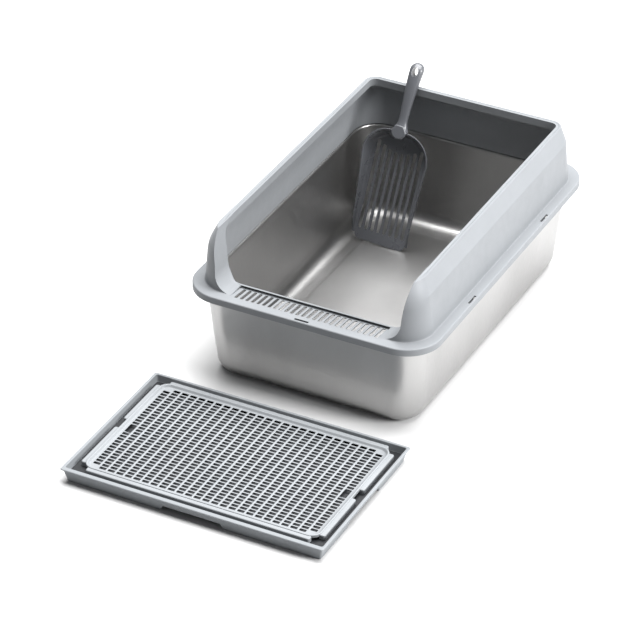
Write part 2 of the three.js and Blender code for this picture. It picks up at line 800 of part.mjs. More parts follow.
// How far back the handle's rear side lies where it passes the height z.
function backOfHandleAt(z, group) {
  const steps = cornerSteps * smallSteps;
  let last = null;
  for (let i = 0; i <= steps; i++) {
    const local = (handleLength * i) / steps;
    const point = new THREE.Vector3(0, handleNeckHalfThickness - handleCentre(local), local);
    point.applyMatrix4(group.matrixWorld);
    if (last && last.z <= z && point.z > z) {
      return last.y + ((z - last.z) * (point.y - last.y)) / (point.z - last.z);
    }
    last = point;
  }
  return last.y;
}

function litterMat() {
  const mat = new THREE.Group();
  const slotted = piece('mat_grid', grid(), gridPlastic);
  slotted.position.y = gridY;
  mat.add(piece('mat_tray', tray(), trayPlastic), slotted);
  mat.position.set(trayOffset, boxFrontY - trayDistance - trayDepth / 2, 0);
  return mat;
}

const group = new THREE.Group();
group.add(piece('steel_pan', steelPan(), steel));
group.add(piece('enclosure', surround(), greyPlastic));
group.add(scoop(), litterMat());

export default group;
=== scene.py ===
"""Steel litter box with its scoop and litter mat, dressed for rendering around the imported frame.

Lengths are in millimetres; Shape.to_bmesh() turns them into metres. The entry faces -Y, +Z is up.
"""

import math

import bmesh
import bpy
from mathutils import Matrix, Vector
from mathutils.geometry import tessellate_polygon


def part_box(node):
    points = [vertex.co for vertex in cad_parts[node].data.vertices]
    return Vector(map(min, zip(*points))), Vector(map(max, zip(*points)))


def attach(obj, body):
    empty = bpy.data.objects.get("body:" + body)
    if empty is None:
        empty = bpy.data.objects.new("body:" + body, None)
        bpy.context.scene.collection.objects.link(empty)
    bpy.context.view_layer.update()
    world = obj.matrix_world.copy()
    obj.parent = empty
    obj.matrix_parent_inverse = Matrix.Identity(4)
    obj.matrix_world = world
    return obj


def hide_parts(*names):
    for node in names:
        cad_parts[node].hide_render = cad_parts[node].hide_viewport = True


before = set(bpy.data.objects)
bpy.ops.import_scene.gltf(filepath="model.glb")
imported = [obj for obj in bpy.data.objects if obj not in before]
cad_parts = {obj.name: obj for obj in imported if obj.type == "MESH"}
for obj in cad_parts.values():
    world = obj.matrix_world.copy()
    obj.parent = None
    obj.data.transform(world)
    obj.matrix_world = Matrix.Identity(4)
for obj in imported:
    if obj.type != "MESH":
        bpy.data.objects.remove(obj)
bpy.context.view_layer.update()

MM = 0.001


def node_box(node):
    """Lowest and highest corner of a CAD node, in millimetres."""
    low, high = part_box(node)
    return [v / MM for v in low], [v / MM for v in high]


BOX_LOW, BOX_HIGH = node_box("enclosure")
PAN_HIGH = node_box("steel_pan")[1]
TRAY_LOW, TRAY_HIGH = node_box("mat_tray")
GRID_LOW, GRID_HIGH = node_box("mat_grid")
SHOVEL_LOW, SHOVEL_HIGH = node_box("scoop_shovel")

# Shared counts and small sizes
CORNER_STEPS = 14
SMALL_STEPS = 6
TINY_STEPS = 2
MERGE_GAP = 0.02
SMOOTH_ANGLE = math.radians(38)
ROUND_ANGLE = math.radians(50)

# Surround
FLANGE_HALF = BOX_HIGH[:2]
FLANGE_CORNER = 58
RIM_TOP = BOX_HIGH[2]
SKIRT_BOTTOM = BOX_LOW[2]
SKIRT_DROP = 11.5
SKIRT_WALL = 2.5
FLANGE_PLATE = 2.5
FLANGE_TOP = SKIRT_BOTTOM + SKIRT_DROP
FLANGE_ROUND = 2.2
SIDE_LEDGE = 17
END_LEDGE = 18.7
FOOT_HALF = (FLANGE_HALF[0] - SIDE_LEDGE, FLANGE_HALF[1] - END_LEDGE)
FOOT_WALL = 4.2
FOOT_FILLET = 1.8
FOOT_CORNER = 47
LOWER_HEIGHT = 67
LOWER_LEAN = 6
CREASE_Z = FLANGE_TOP + LOWER_HEIGHT
CREASE_CORNER = 38
CREASE_STEPS = (0, 0.8, 3.5, 7, 10.5)
CREASE_FADE = 14
CREASE_FADE_POINTS = (14, 9)    # points of a row that stay eased, then points that fade to the crease
UPPER_HEIGHT = RIM_TOP - CREASE_Z
UPPER_LEAN = 11.5
RIM_CORNER = 20
FRONT_RIM_CORNER = 35
RIM_WIDTH = 8.5
RIM_BAND = 12.5
BAND_BOTTOM = RIM_TOP - RIM_BAND
BAND_EASE = 6
RIM_ROUND = 1.3
RIM_STEPS = (0, 0.8, 1.6, 2.2, 3.2, 4.5, 6, 8, 9, 10, 13, 16.5, 20, 23.5)
RIM_SHARES = (0, 0.24, 0.34, 0.42, 0.5, 0.58, 0.66, 0.76, 1)
GROOVE_DEPTH = 0.9
GROOVE_SPREAD = 0.17
GROOVE_FADE_POINTS = (3, 9)
LEVEL_GAP = 0.4
WALL = 2.5
RIM_INNER = tuple(h - LOWER_LEAN - UPPER_LEAN - RIM_WIDTH for h in FOOT_HALF)

# Surround's entry
ENTRY_HALF = 157
ENTRY_FILLET = 28
ENTRY_FLARE = 8
ENTRY_FLARE_HEIGHT = 58
ENTRY_FLARE_POWER = 1.1
POST_EDGE = 0.6
INNER_FLARE = RIM_INNER[0] - ENTRY_HALF - POST_EDGE
POST_DEPTH = 46
POST_BACK = -(FOOT_HALF[1] - POST_DEPTH)
POST_TOP_RADIUS = 30
POST_CORNER = 12
POST_CORNER_GAP = 0.1
SILL_INNER = -(FLANGE_HALF[1] - 54)
SILL_TURN = 21
FRONT_POINTS = 22
SIDE_STEPS = 10
BACK_STEPS = 5
ENTRY_LEVELS = (0.5, 1.8, 4, 7, 11, 16, 22, 28, 40, 53)
HIDDEN_EDGE = 1.2
HIDDEN_POINTS = 3
RIDGE_WIDTH = 3.5
RIDGE_RISE = 0.4
RIDGE_ROUND = 0.8
RIDGE_FRONT = SILL_INNER - RIDGE_WIDTH
PANEL_HALF = 127.5
PANEL_DEPTH = 36.5
PANEL_FRONT = RIDGE_FRONT - PANEL_DEPTH
PANEL_MIDDLE = (RIDGE_FRONT + PANEL_FRONT) / 2
PANEL_DROP = 4.4
PANEL_SHEET = 1.5
PANEL_OVERLAP = 0.2
PANEL_CORNER = 1.5
PANEL_CORNER_STEPS = 3
SLOT_COUNT = 26
SLOT_PITCH = 9.5
SLOT_HALF = (2.7, 16)
SLOT_CORNER = 1.8
SLOT_CHAMFER = 0.35
WINDOW_LENGTH = 24
WINDOW_NEAR = 2.9
WINDOW_FAR = 7.1
WINDOW_CORNER = 0.5
SIDE_WINDOW_PLACE = 134
LUG_HEIGHT = 4
LUG_LIFT = 1
LUG_REACH = 4.7
LUG_CORNER = 0.6

# Steel pan
PAN_RIM_HALF = PAN_HIGH[:2]
PAN_HEIGHT = PAN_HIGH[2]
PAN_SHEET = 1.2
PAN_RIM_WIDTH = 14
PAN_RIM_CORNER = 50.5
PAN_TAPER = 12.5
PAN_TAPER_POWER = 1.3
PAN_BASE_RADIUS = 25
PAN_WALL_CORNER = 42
PAN_THROAT = 3
PAN_HEM = 4
PAN_WALL_HALF = tuple(h - PAN_RIM_WIDTH for h in PAN_RIM_HALF)
PAN_WALL_ROWS = 14
FLOOR_SWAGE_INSET = 16
FLOOR_SWAGE_RISE = 0.9
FLOOR_SWAGE_ROWS = ((2.2, 1), (1.25, 1), (1, 0.5), (0.75, 0))    # shares of the inset and of the rise

# Scoop
FIT_GAP = 0.3
SCOOP_LEAN = math.radians(22)
SCOOP_ROLL = math.radians(3.2)
SHOVEL_LENGTH = 196
SHOVEL_RIM_HALF = 60
SHOVEL_BASE_HALF = 51
SHOVEL_TIP_HALF = 50
SHOVEL_SHOULDER = 46
SHOVEL_TIP_CORNER = 9
SHOVEL_TIP_FADE = 4
SHOVEL_SIDE_POINTS = 26
SHOVEL_TOP_POINTS = 4
SHOVEL_DEPTH = 26
SHOVEL_TIP_WALL = 7
SHOVEL_SHEET = 2
SHOVEL_FILLET = 5
SHOVEL_LIP = 0.8
SHOVEL_SLOTS = 8
SHOVEL_SLOT_PITCH = 11
SHOVEL_SLOT_HALF = 3.1
SHOVEL_SLOT_TOP = 26
SHOVEL_SLOT_DIP = 14
SHOVEL_SLOT_FOOT = 18
TONGUE_HALF = 13
TONGUE_DROP = 13
TONGUE_THICK = 4
TONGUE_ROUND = 2.4
HANDLE_LENGTH = 114
HANDLE_NECK_Z = 20
HANDLE_NECK_HALF = 7.5
HANDLE_END_HALF = 12
HANDLE_NECK_THICK = 5.5
HANDLE_END_THICK = 9
HANDLE_STAND = 20
HANDLE_BOW = 16
HANDLE_BOW_POWER = 2.4
HANDLE_POINTS = 40
HANDLE_ROWS = 40
HANDLE_FOOT_RISE = 0.6
HANDLE_FOOT_SHRINK = 0.93
OVAL_POWER = 0.82
HOLE_HALF = (5.5, 8)
HOLE_INSET = 14
HOLE_ROUND = 1.2

# Litter mat
TRAY_CORNER = 3
TRAY_TAPER = 8
TRAY_RIM = 2
TRAY_RIM_OUT = 0.7              # shares of the rim's thickness that round its outer and inner edge
TRAY_RIM_IN = 0.6
TRAY_RIM_EDGE = 0.5
TRAY_EDGE = 0.3
TRAY_FOOT_EDGE = 0.4
TRAY_OVERHANG = 3
TRAY_SIDE_RIM = 5
TRAY_FRONT_RIM = 8
TRAY_BACK_RIM = 5
TRAY_POCKET_FOOT = ((1.4, 0.8), (1.9, 0))    # how far in and how high the pocket's wall meets its floor
TRAY_FLOOR_TOP = 12.5
TRAY_FLOOR = 2
TRAY_WALL = 2.5
TRAY_CUT_LENGTH = 105
TRAY_CUT_HEIGHT = 10
TRAY_CUT_SLOPE = 5
TRAY_CUT_REACH = 13
TRAY_CUT_PAST = 4
GRID_COLUMNS = 26
GRID_ROWS = 30
GRID_PITCH = (14.504, 7.79)
GRID_SLOT_HALF = (5.6, 2.8)
GRID_SINK = 3
GRID_SLOT_CORNER = 1
GRID_CHAMFER = 0.3
GRID_RIB_RISE = 0.7
GRID_RIB_HALF = 0.7
GRID_PLATE = 1.5
GRID_CORNER = 18
GRID_INNER_CORNER = 12
BORDER_PROFILE = ((0, -1), (0, 1), (0.25, 0.4), (0.8, 0.08), (1.6, 0), (2.4, 0.1), (3, 0.45), (3.7, 1.3),
                  (4.4, 2.3), (5, 3), (5.6, 3.5), (6.2, 3.7))
WINDOW_FIRST = 13
WINDOW_ROWS = 3
LIP_WIDTH = 7
LIP_STEP = 1.2
LIP_NOTCH = 24
LIP_ROUND = 2
LIP_END_ROUND = 3.5
LIP_CORNER_GAP = 10

# Camera and light, in metres
CAMERA_PLACE = (2.0110, -4.2122, 3.0243)
CAMERA_AZIMUTH = math.radians(26.8736)
CAMERA_ELEVATION = math.radians(33.0622)
CAMERA_ROLL = math.radians(0.3621)
CAMERA_LENS = 196.15
CAMERA_SENSOR = 36
CAMERA_FAR = 100
KEY_LIGHT = ((3.3, 0.1, 1.6), (0.1, 0, 0.1), (1.6, 1.4), 225)    # place, target, size and power
TOP_LIGHT = ((0, 1.3, 5), (0, 1.299, 0), (5, 5), 1150)
WORLD_COLOUR = (0.95, 0.97, 1, 1)
WORLD_STRENGTH = 0.2
FLOOR_SHADES = ((0.48, 0.48, 0.48), (0.5, 0.5, 0.5))
FLOOR_ROUGHNESS = 0.9
FLOOR_HALF = 9000
FLOOR_CORNER = 100

# Steel and plastics; a pair of shades or of roughness is what the noise runs between
STEEL_SHADES = ((0.35, 0.347, 0.344), (0.41, 0.407, 0.404))
STEEL_ROUGHNESS = (0.3, 0.42)
STEEL_BUMP = (0.2, 0.02)        # strength and depth
PLASTIC_BUMP = 0.06
PLASTIC_GRAIN = 0.5
PLASTIC_SHEEN = (-0.05, 0.06)   # added to the roughness
GREY_PLASTIC = ((0.17, 0.178, 0.187), 0.03, 0.45, 0.3, 0.15)    # colour, shade, roughness, grain, gloss
SLATE_PLASTIC = ((0.075, 0.078, 0.086), 0.05, 0.3, 0.12, 0.5)
TRAY_PLASTIC = ((0.18, 0.19, 0.2), 0.03, 0.45, 0.35, 0.2)
GRID_PLASTIC = ((0.2, 0.21, 0.22), 0.03, 0.45, 0.3, 0.2)
# Painted shade on the floor of the tray's pocket, standing in for its shadow: colour, top height, fade and
# upward facing
POCKET_PAINTED_SHADE = (0.015, 0.016, 0.018)
PAINTED_SHADE_HEIGHT = TRAY_FLOOR_TOP + 2
PAINTED_SHADE_FADE = 1
PAINTED_SHADE_FACING = (0.7, 0.9)

# Noise: waves per metre, detail and stretch; only the middle of its range is used
PLASTIC_CLOUDS = (14, 4)
PLASTIC_PATCHES = (60, 3)
PLASTIC_GRAIN_NOISE = (1 / (PLASTIC_GRAIN * MM), 2)
STEEL_HAZE = (9, 4, (1, 1, 0.3))
STEEL_LINES = (900, 3, (1, 1, 0.06))
FLOOR_CLOUDS = (2, 2)
NOISE_MIDDLE = (0.3, 0.7)


# Outlines: lists of (x, y), turning left

def arc(centre, radius, start_quarter, steps=CORNER_STEPS):
    points = []
    for i in range(steps + 1):
        angle = (start_quarter + i / steps) * math.pi / 2
        points.append((centre[0] + radius * math.cos(angle), centre[1] + radius * math.sin(angle)))
    return points


def rounded_rect(half, radius, steps=CORNER_STEPS, middle=(0, 0)):
    x, y = half[0] - radius, half[1] - radius
    points = []
    for quarter, (sx, sy) in enumerate(((1, 1), (-1, 1), (-1, -1), (1, -1))):
        centre = (middle[0] + sx * x, middle[1] + sy * y)
        points += arc(centre, radius, quarter, steps)
    return points


def inset(half, amount):
    return (half[0] - amount, half[1] - amount)


def at_z(outline, z):
    """A ring: the outline, or another ring, laid flat at a height."""
    return [(p[0], p[1], z) for p in outline]


def mirrored(path):
    """The path on the other side of x = 0, run the other way."""
    return [(-x, y) for x, y in reversed(path)]


def quarter_turn(steps=SMALL_STEPS):
    """Pairs that run from (0, 1) to (1, 0) along a quarter of a circle that bulges to (0, 0)."""
    angles = [i / steps * math.pi / 2 for i in range(steps + 1)]
    return [(1 - math.cos(angle), 1 - math.sin(angle)) for angle in angles]


def rounded_top(half, corner, top, radius, steps=CORNER_STEPS, middle=(0, 0)):
    """Rings that round the upper edge of a block, from its side to its top."""
    rings = []
    for back, down in quarter_turn():
        back = radius * back
        outline = rounded_rect(inset(half, back), corner - back, steps, middle)
        rings.append(at_z(outline, top - radius * down))
    return rings


def resample(path, count):
    """Points at even distances along an open path."""
    lengths = [0.0]
    for a, b in zip(path, path[1:]):
        lengths.append(lengths[-1] + math.dist(a, b))
    points, k = [], 0
    for i in range(count):
        want = lengths[-1] * i / (count - 1)
        while k < len(path) - 2 and lengths[k + 1] < want:
            k += 1
        span = lengths[k + 1] - lengths[k]
        share = (want - lengths[k]) / span if span else 0
        points.append(mix(path[k], path[k + 1], share))
    return points


def mix(a, b, share):
    return tuple(p + (q - p) * share for p, q in zip(a, b))


def smoothstep(share):
    share = min(max(share, 0), 1)
    return share * share * (3 - 2 * share)


# Meshes

class Shape:
    """Collects points and faces, in millimetres."""

    def __init__(self):
        self.points = []
        self.faces = []

    def add(self, points):
        start = len(self.points)
        self.points.extend(tuple(p) for p in points)
        return list(range(start, start + len(points)))

    def skin(self, rows, closed=True):
        for low, high in zip(rows, rows[1:]):
            count = len(low)
            for i in range(count if closed else count - 1):
                j = (i + 1) % count
                self.faces.append((low[i], low[j], high[j], high[i]))

    def loft(self, rings, closed=True):
        rows = [self.add(r) for r in rings]
        self.skin(rows, closed)
        return rows

    def fill(self, rings):
        """Faces between the first ring and the others, which are holes; each has its own heights."""
        flat = [[Vector(p) for p in at_z(ring, 0)] for ring in rings]
        ids = self.add([p for ring in rings for p in ring])
        for a, b, c in tessellate_polygon(flat):
            self.faces.append((ids[a], ids[b], ids[c]))

    def cap(self, row):
        self.faces.append(tuple(row))

    def solid(self, rings):
        """A loft that is closed at both ends."""
        rows = self.loft(rings)
        self.cap(rows[0][::-1])
        self.cap(rows[-1])
        return self

    def to_bmesh(self):
        bm = bmesh.new()
        verts = [bm.verts.new(Vector(p) * MM) for p in self.points]
        for face in self.faces:
            corners = list(dict.fromkeys(face))
            if len(corners) > 2 and not bm.faces.get([verts[i] for i in corners]):
                bm.faces.new([verts[i] for i in corners])
        bmesh.ops.remove_doubles(bm, verts=bm.verts, dist=MERGE_GAP * MM)
        bmesh.ops.dissolve_degenerate(bm, dist=MERGE_GAP * MM, edges=bm.edges)
        bmesh.ops.recalc_face_normals(bm, faces=bm.faces)
        return bm


def round_edges(bm, width, segments=3, angle=ROUND_ANGLE):
    """Rounds every edge sharper than an angle."""
    edges = [e for e in bm.edges if e.is_manifold and e.calc_face_angle(0) > angle]
    bmesh.ops.bevel(bm, geom=edges, offset=width * MM, offset_type="OFFSET", segments=segments,
                    profile=0.5, affect="EDGES", clamp_overlap=True)
    return bm


def turned(bm, matrix):
    bm.transform(matrix)
    return bm


def add_object(name, data):
    obj = bpy.data.objects.new(name, data)
    bpy.context.scene.collection.objects.link(obj)
    return obj


def joined(parts):
    """One bmesh out of several; the others are freed."""
    first = parts[0]
    for other in parts[1:]:
        spare = bpy.data.meshes.new("spare")
        other.to_mesh(spare)
        other.free()
        first.from_mesh(spare)
        bpy.data.meshes.remove(spare)
    return first


def cut_away(bm, cutters):
    """Subtracts closed shapes from a closed bmesh."""
    objects = []
    for i, source in enumerate([bm, joined(cutters)]):
        mesh = bpy.data.meshes.new(f"cut_{i}")
        source.to_mesh(mesh)
        source.free()
        objects.append(add_object(f"cut_{i}", mesh))
    modifier = objects[0].modifiers.new("cut", "BOOLEAN")
    modifier.operation = "DIFFERENCE"
    modifier.solver = "EXACT"
    modifier.use_self = True
    modifier.object = objects[1]
    graph = bpy.context.evaluated_depsgraph_get()
    result = bmesh.new()
    result.from_mesh(objects[0].evaluated_get(graph).to_mesh())
    for obj in objects:
        mesh = obj.data
        bpy.data.objects.remove(obj)
        bpy.data.meshes.remove(mesh)
    return result


def new_object(name, bm, material):
    mesh = bpy.data.meshes.new(name)
    bm.to_mesh(mesh)
    bm.free()
    mesh.materials.append(material)
    return add_object(name, mesh)


def new_piece(name, bm, material, body, node):
    obj = new_object(name, bm, material)
    obj.data.shade_smooth()
    obj.data.set_sharp_from_angle(angle=SMOOTH_ANGLE)
    weighted = obj.modifiers.new("even_shading", "WEIGHTED_NORMAL")
    weighted.keep_sharp = True
    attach(obj, body)
    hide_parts(node)


# Materials

def add_node(tree, kind, **inputs):
    """A shader node; each input is named with _ for a space and takes a value or another node's socket."""
    node = tree.nodes.new("ShaderNode" + kind)
    for name, value in inputs.items():
        set_input(tree, node, name.replace("_", " "), value)
    return node


def set_input(tree, node, name, value):
    if isinstance(value, bpy.types.NodeSocket):
        tree.links.new(value, node.inputs[name])
    else:
        node.inputs[name].default_value = value


def material_nodes(name):
    material = bpy.data.materials.new(name)
    material.use_nodes = True
    tree = material.node_tree
    tree.nodes.clear()
    shader = add_node(tree, "BsdfPrincipled")
    add_node(tree, "OutputMaterial", Surface=shader.outputs["BSDF"])
    return material, tree, shader


def noise(tree, scale, detail, stretch=(1, 1, 1)):
    """Noise in the object's own space."""
    place = add_node(tree, "TexCoord")
    mapping = add_node(tree, "Mapping", Scale=stretch, Vector=place.outputs["Object"])
    return add_node(tree, "TexNoise", Scale=scale, Detail=detail,
                    Vector=mapping.outputs["Vector"]).outputs["Fac"]


def spread(tree, value, low, high, source=NOISE_MIDDLE):
    """Maps a texture's middle range, or another range, onto the range from low to high."""
    return add_node(tree, "MapRange", From_Min=source[0], From_Max=source[1], To_Min=low, To_Max=high,
                    Value=value).outputs["Result"]


def colour_between(tree, value, low, high):
    ramp = add_node(tree, "ValToRGB", Fac=value)
    for element, place, colour in zip(ramp.color_ramp.elements, NOISE_MIDDLE, (low, high)):
        element.position = place
        element.color = (*colour, 1)
    return ramp.outputs["Color"]


def bump(tree, shader, height, strength, distance):
    node = add_node(tree, "Bump", Strength=strength, Distance=distance * MM, Height=height)
    set_input(tree, shader, "Normal", node.outputs["Normal"])


def moulded_plastic(name, colour, shade, roughness, grain, gloss):
    """Moulded plastic: faint cloudy tone, fine spark-eroded grain, uneven sheen."""
    material, tree, shader = material_nodes(name)
    low = tuple(c * (1 - shade) for c in colour)
    high = tuple(min(c * (1 + shade), 1) for c in colour)
    tone = colour_between(tree, noise(tree, *PLASTIC_CLOUDS), low, high)
    set_input(tree, shader, "Base Color", tone)
    sheen = [roughness + change for change in PLASTIC_SHEEN]
    sheen = spread(tree, noise(tree, *PLASTIC_PATCHES), *sheen)
    set_input(tree, shader, "Roughness", sheen)
    set_input(tree, shader, "Specular IOR Level", gloss)
    bump(tree, shader, noise(tree, *PLASTIC_GRAIN_NOISE), grain, PLASTIC_BUMP)
    return material


def paint_pocket_shade(material):
    """Painted shade: darkens faces that look up and lie low, which is the floor of the tray's pocket, to
    stand in for the shadow under the slotted plate.
    """
    tree = material.node_tree
    shader = tree.nodes["Principled BSDF"]
    place = add_node(tree, "TexCoord")
    rise, facing = [add_node(tree, "SeparateXYZ", Vector=place.outputs[output]).outputs["Z"]
                    for output in ("Object", "Normal")]
    painted_shade_mask = add_node(tree, "Math")
    painted_shade_mask.operation = "MULTIPLY"
    depth = spread(tree, rise, 1, 0, ((PAINTED_SHADE_HEIGHT - PAINTED_SHADE_FADE) * MM, PAINTED_SHADE_HEIGHT * MM))
    tree.links.new(depth, painted_shade_mask.inputs[0])
    tree.links.new(spread(tree, facing, 0, 1, PAINTED_SHADE_FACING), painted_shade_mask.inputs[1])
    # Blends the plastic's colour towards the painted shade where the mask holds
    mixer = add_node(tree, "Mix", Factor=painted_shade_mask.outputs["Value"])
    mixer.data_type = "RGBA"
    own, painted_shade_input = [i for i in mixer.inputs if i.name in ("A", "B") and i.type == "RGBA"]
    painted_shade_input.default_value = (*POCKET_PAINTED_SHADE, 1)
    tree.links.new(shader.inputs["Base Color"].links[0].from_socket, own)
    result = next(o for o in mixer.outputs if o.type == "RGBA")
    set_input(tree, shader, "Base Color", result)


def brushed_steel(name):
    """Drawn steel with fine upright lines and a faint cloudy haze."""
    material, tree, shader = material_nodes(name)
    set_input(tree, shader, "Metallic", 1)
    haze = noise(tree, *STEEL_HAZE)
    set_input(tree, shader, "Base Color", colour_between(tree, haze, *STEEL_SHADES))
    lines = noise(tree, *STEEL_LINES)
    set_input(tree, shader, "Roughness", spread(tree, lines, *STEEL_ROUGHNESS))
    bump(tree, shader, lines, *STEEL_BUMP)
    return material


# Steel pan

def pan_section(z, sheet):
    rise = max(1 - z / PAN_HEIGHT, 0)
    lean = PAN_TAPER * rise ** PAN_TAPER_POWER + sheet
    return inset(PAN_WALL_HALF, lean), PAN_WALL_CORNER - sheet


def pan_face(sheet):
    """Rings up one face of the pan, from the flat base to the throat."""
    radius = PAN_BASE_RADIUS - sheet
    half, corner = pan_section(PAN_BASE_RADIUS, sheet)
    rings = []
    for rise, back in quarter_turn(2 * SMALL_STEPS):
        back = radius * back
        rings.append(at_z(rounded_rect(inset(half, back), corner - back), sheet + radius * rise))
    for i in range(1, PAN_WALL_ROWS):
        z = PAN_BASE_RADIUS + (PAN_HEIGHT - PAN_BASE_RADIUS - 2 * PAN_THROAT) * i / PAN_WALL_ROWS
        rings.append(at_z(rounded_rect(*pan_section(z, sheet)), z))
    return rings


def pan_throat(sheet, face_z, radius):
    """Rings from the wall over the bend to the rim's underside or top."""
    rings = []
    for out, down in quarter_turn():
        out = radius * out - sheet
        outline = rounded_rect(inset(PAN_WALL_HALF, -out), PAN_WALL_CORNER + out)
        rings.append(at_z(outline, face_z - radius * down))
    return rings


def pan_floor(sheet):
    """Rings from the middle of the base out to its bend, with one shallow raised field."""
    half, corner = pan_section(PAN_BASE_RADIUS, sheet)
    back = PAN_BASE_RADIUS - sheet
    edge, edge_corner = inset(half, back), corner - back
    rings = []
    for share, rise in FLOOR_SWAGE_ROWS:
        field = inset(edge, FLOOR_SWAGE_INSET * share)
        rings.append(at_z(rounded_rect(field, edge_corner), sheet + FLOOR_SWAGE_RISE * rise))
    return rings


def make_pan(material):
    under = PAN_HEIGHT - PAN_SHEET
    hem_half, hem_corner = inset(PAN_RIM_HALF, PAN_SHEET), PAN_RIM_CORNER - PAN_SHEET
    hem_z = PAN_HEIGHT - PAN_HEM
    rings = pan_floor(0) + pan_face(0) + pan_throat(0, under, PAN_THROAT)
    rings += [at_z(rounded_rect(hem_half, hem_corner), z) for z in (under, hem_z)]
    rings.append(at_z(rounded_rect(PAN_RIM_HALF, PAN_RIM_CORNER), hem_z))
    rings += rounded_top(PAN_RIM_HALF, PAN_RIM_CORNER, PAN_HEIGHT, PAN_SHEET)
    inside = pan_floor(PAN_SHEET) + pan_face(PAN_SHEET)
    inside += pan_throat(PAN_SHEET, PAN_HEIGHT, PAN_THROAT + PAN_SHEET)
    bm = Shape().solid(rings + inside[::-1]).to_bmesh()
    new_piece("pan_drawn", bm, material, "pan", "steel_pan")


# Surround

def share_of(value, start, length):
    """How far a value has come along a stretch, from 0 to 1."""
    return min(max((value - start) / length, 0), 1)


def kinked(z, start, middle, end, soft=0):
    """A value that runs straight up to the crease and straight on to the rim, or eased between."""
    low = share_of(z, FLANGE_TOP, LOWER_HEIGHT)
    high = share_of(z, CREASE_Z, UPPER_HEIGHT)
    value = start + low * (middle - start) + high * (end - middle)
    short = max(soft - abs(z - CREASE_Z), 0)
    turn = (end - middle) / UPPER_HEIGHT - (middle - start) / LOWER_HEIGHT
    return value + turn * short ** 2 / (4 * soft) if soft else value


def wall_half(z, soft=0):
    return inset(FOOT_HALF, kinked(z, 0, LOWER_LEAN, LOWER_LEAN + UPPER_LEAN, soft))


def wall_corner(z, soft=0, at_rim=RIM_CORNER):
    return kinked(z, FOOT_CORNER, CREASE_CORNER, at_rim, soft)


def foot_reach(z):
    """How far the fillet at the wall's foot stands out."""
    up = min(max(z - FLANGE_TOP, 0), FOOT_FILLET)
    return FOOT_FILLET - math.sqrt(FOOT_FILLET ** 2 - (FOOT_FILLET - up) ** 2)


def entry_x(z, flare):
    """Half width of the entry at a height."""
    x = ENTRY_HALF
    short = ENTRY_FILLET - (z - FLANGE_TOP)
    if short > 0:
        short = min(short, ENTRY_FILLET)
        x += math.sqrt(ENTRY_FILLET ** 2 - short ** 2) - ENTRY_FILLET
    rise = max((z - (RIM_TOP - ENTRY_FLARE_HEIGHT)) / ENTRY_FLARE_HEIGHT, 0)
    return x + flare * rise ** ENTRY_FLARE_POWER


def post_back(z):
    rise = min(max(z - (RIM_TOP - POST_TOP_RADIUS), 0), POST_TOP_RADIUS)
    return POST_BACK + POST_TOP_RADIUS - math.sqrt(POST_TOP_RADIUS ** 2 - rise ** 2)


def sill_ease(x, post):
    """The edge that runs from the sill back to the post's rear side."""
    share = share_of(x, ENTRY_HALF - SILL_TURN, SILL_TURN)
    return SILL_INNER + (1 - math.cos(math.pi * share)) / 2 * (post - SILL_INNER)


def round_the_back(front, half, front_corner_y, back_corner):
    """One row round the box, from the right entry edge to the left one."""
    side = [(half[0], front_corner_y), (half[0], half[1] - back_corner)]
    row = front[:-1] + resample(side, SIDE_STEPS + 1)[:-1]
    turn = arc((half[0] - back_corner, half[1] - back_corner), back_corner, 0)
    row += turn[:-1] + resample([turn[-1], (0, half[1])], BACK_STEPS + 1)[:-1]
    return row + [(0, half[1])] + mirrored(row)


def outer_row(z):
    """The wall's outside, whose crease fades out round the posts."""
    first, count = CREASE_FADE_POINTS
    hard, soft = plain_outer_row(z, 0), plain_outer_row(z, CREASE_FADE)
    row = []
    for i, (a, b) in enumerate(zip(hard, soft)):
        away = min(i, len(hard) - 1 - i)
        row.append(mix(b, a, smoothstep((away - first) / count)))
    return row


def plain_outer_row(z, soft):
    out = foot_reach(z)
    half, back_corner = inset(wall_half(z, soft), -out), wall_corner(z, soft) + out
    corner = wall_corner(z, soft, FRONT_RIM_CORNER) + out
    start = entry_x(z, ENTRY_FLARE)
    centre = (half[0] - corner, -(half[1] - corner))
    path = [(start, -half[1])] if start < centre[0] else []
    first = -math.pi / 2 if path else -math.acos((start - centre[0]) / corner)
    for i in range(2 * CORNER_STEPS + 1):
        angle = first * (1 - i / (2 * CORNER_STEPS))
        path.append((centre[0] + corner * math.cos(angle), centre[1] + corner * math.sin(angle)))
    return round_the_back(resample(path, FRONT_POINTS), half, centre[1], back_corner)


def inner_row(z, half, back_corner):
    start, post = entry_x(z, INNER_FLARE), post_back(z)
    corner = min(POST_CORNER, half[0] - start - POST_CORNER_GAP)
    path = []
    if start < ENTRY_HALF:
        for i in range(2 * SMALL_STEPS + 1):
            x = start + (ENTRY_HALF - start) * i / (2 * SMALL_STEPS)
            path.append((x, sill_ease(x, post)))
    else:
        path.append((start, post))
    path += arc((half[0] - corner, post + corner), corner, 3)
    return round_the_back(resample(path, FRONT_POINTS), half, post + corner, back_corner)


def wall_levels():
    levels = [FLANGE_TOP - 1, FLANGE_TOP] + [FLANGE_TOP + step for step in ENTRY_LEVELS]
    levels += [CREASE_Z + way * step for way in (-1, 1) for step in CREASE_STEPS]
    levels += [RIM_TOP - step for step in RIM_STEPS] + [BAND_BOTTOM - BAND_EASE, BAND_BOTTOM]
    levels = sorted(set(levels))
    return [z for z, after in zip(levels, levels[1:]) if after - z > LEVEL_GAP] + levels[-1:]


def groove(share):
    off = (share - 0.5) / GROOVE_SPREAD
    return -GROOVE_DEPTH * max(1 - off * off, 0) ** 1.5


def rim_columns(outer, inner):
    """Rows across the rim's top, with a shallow groove that fades out towards the entry."""
    columns = []
    first, count = GROOVE_FADE_POINTS
    for share in RIM_SHARES:
        column = []
        for i, (a, b) in enumerate(zip(outer, inner)):
            fade = smoothstep((min(i, len(outer) - 1 - i) - first) / count)
            x, y = mix(a, b, share)
            column.append((x, y, RIM_TOP + groove(share) * fade))
        columns.append(column)
    return columns


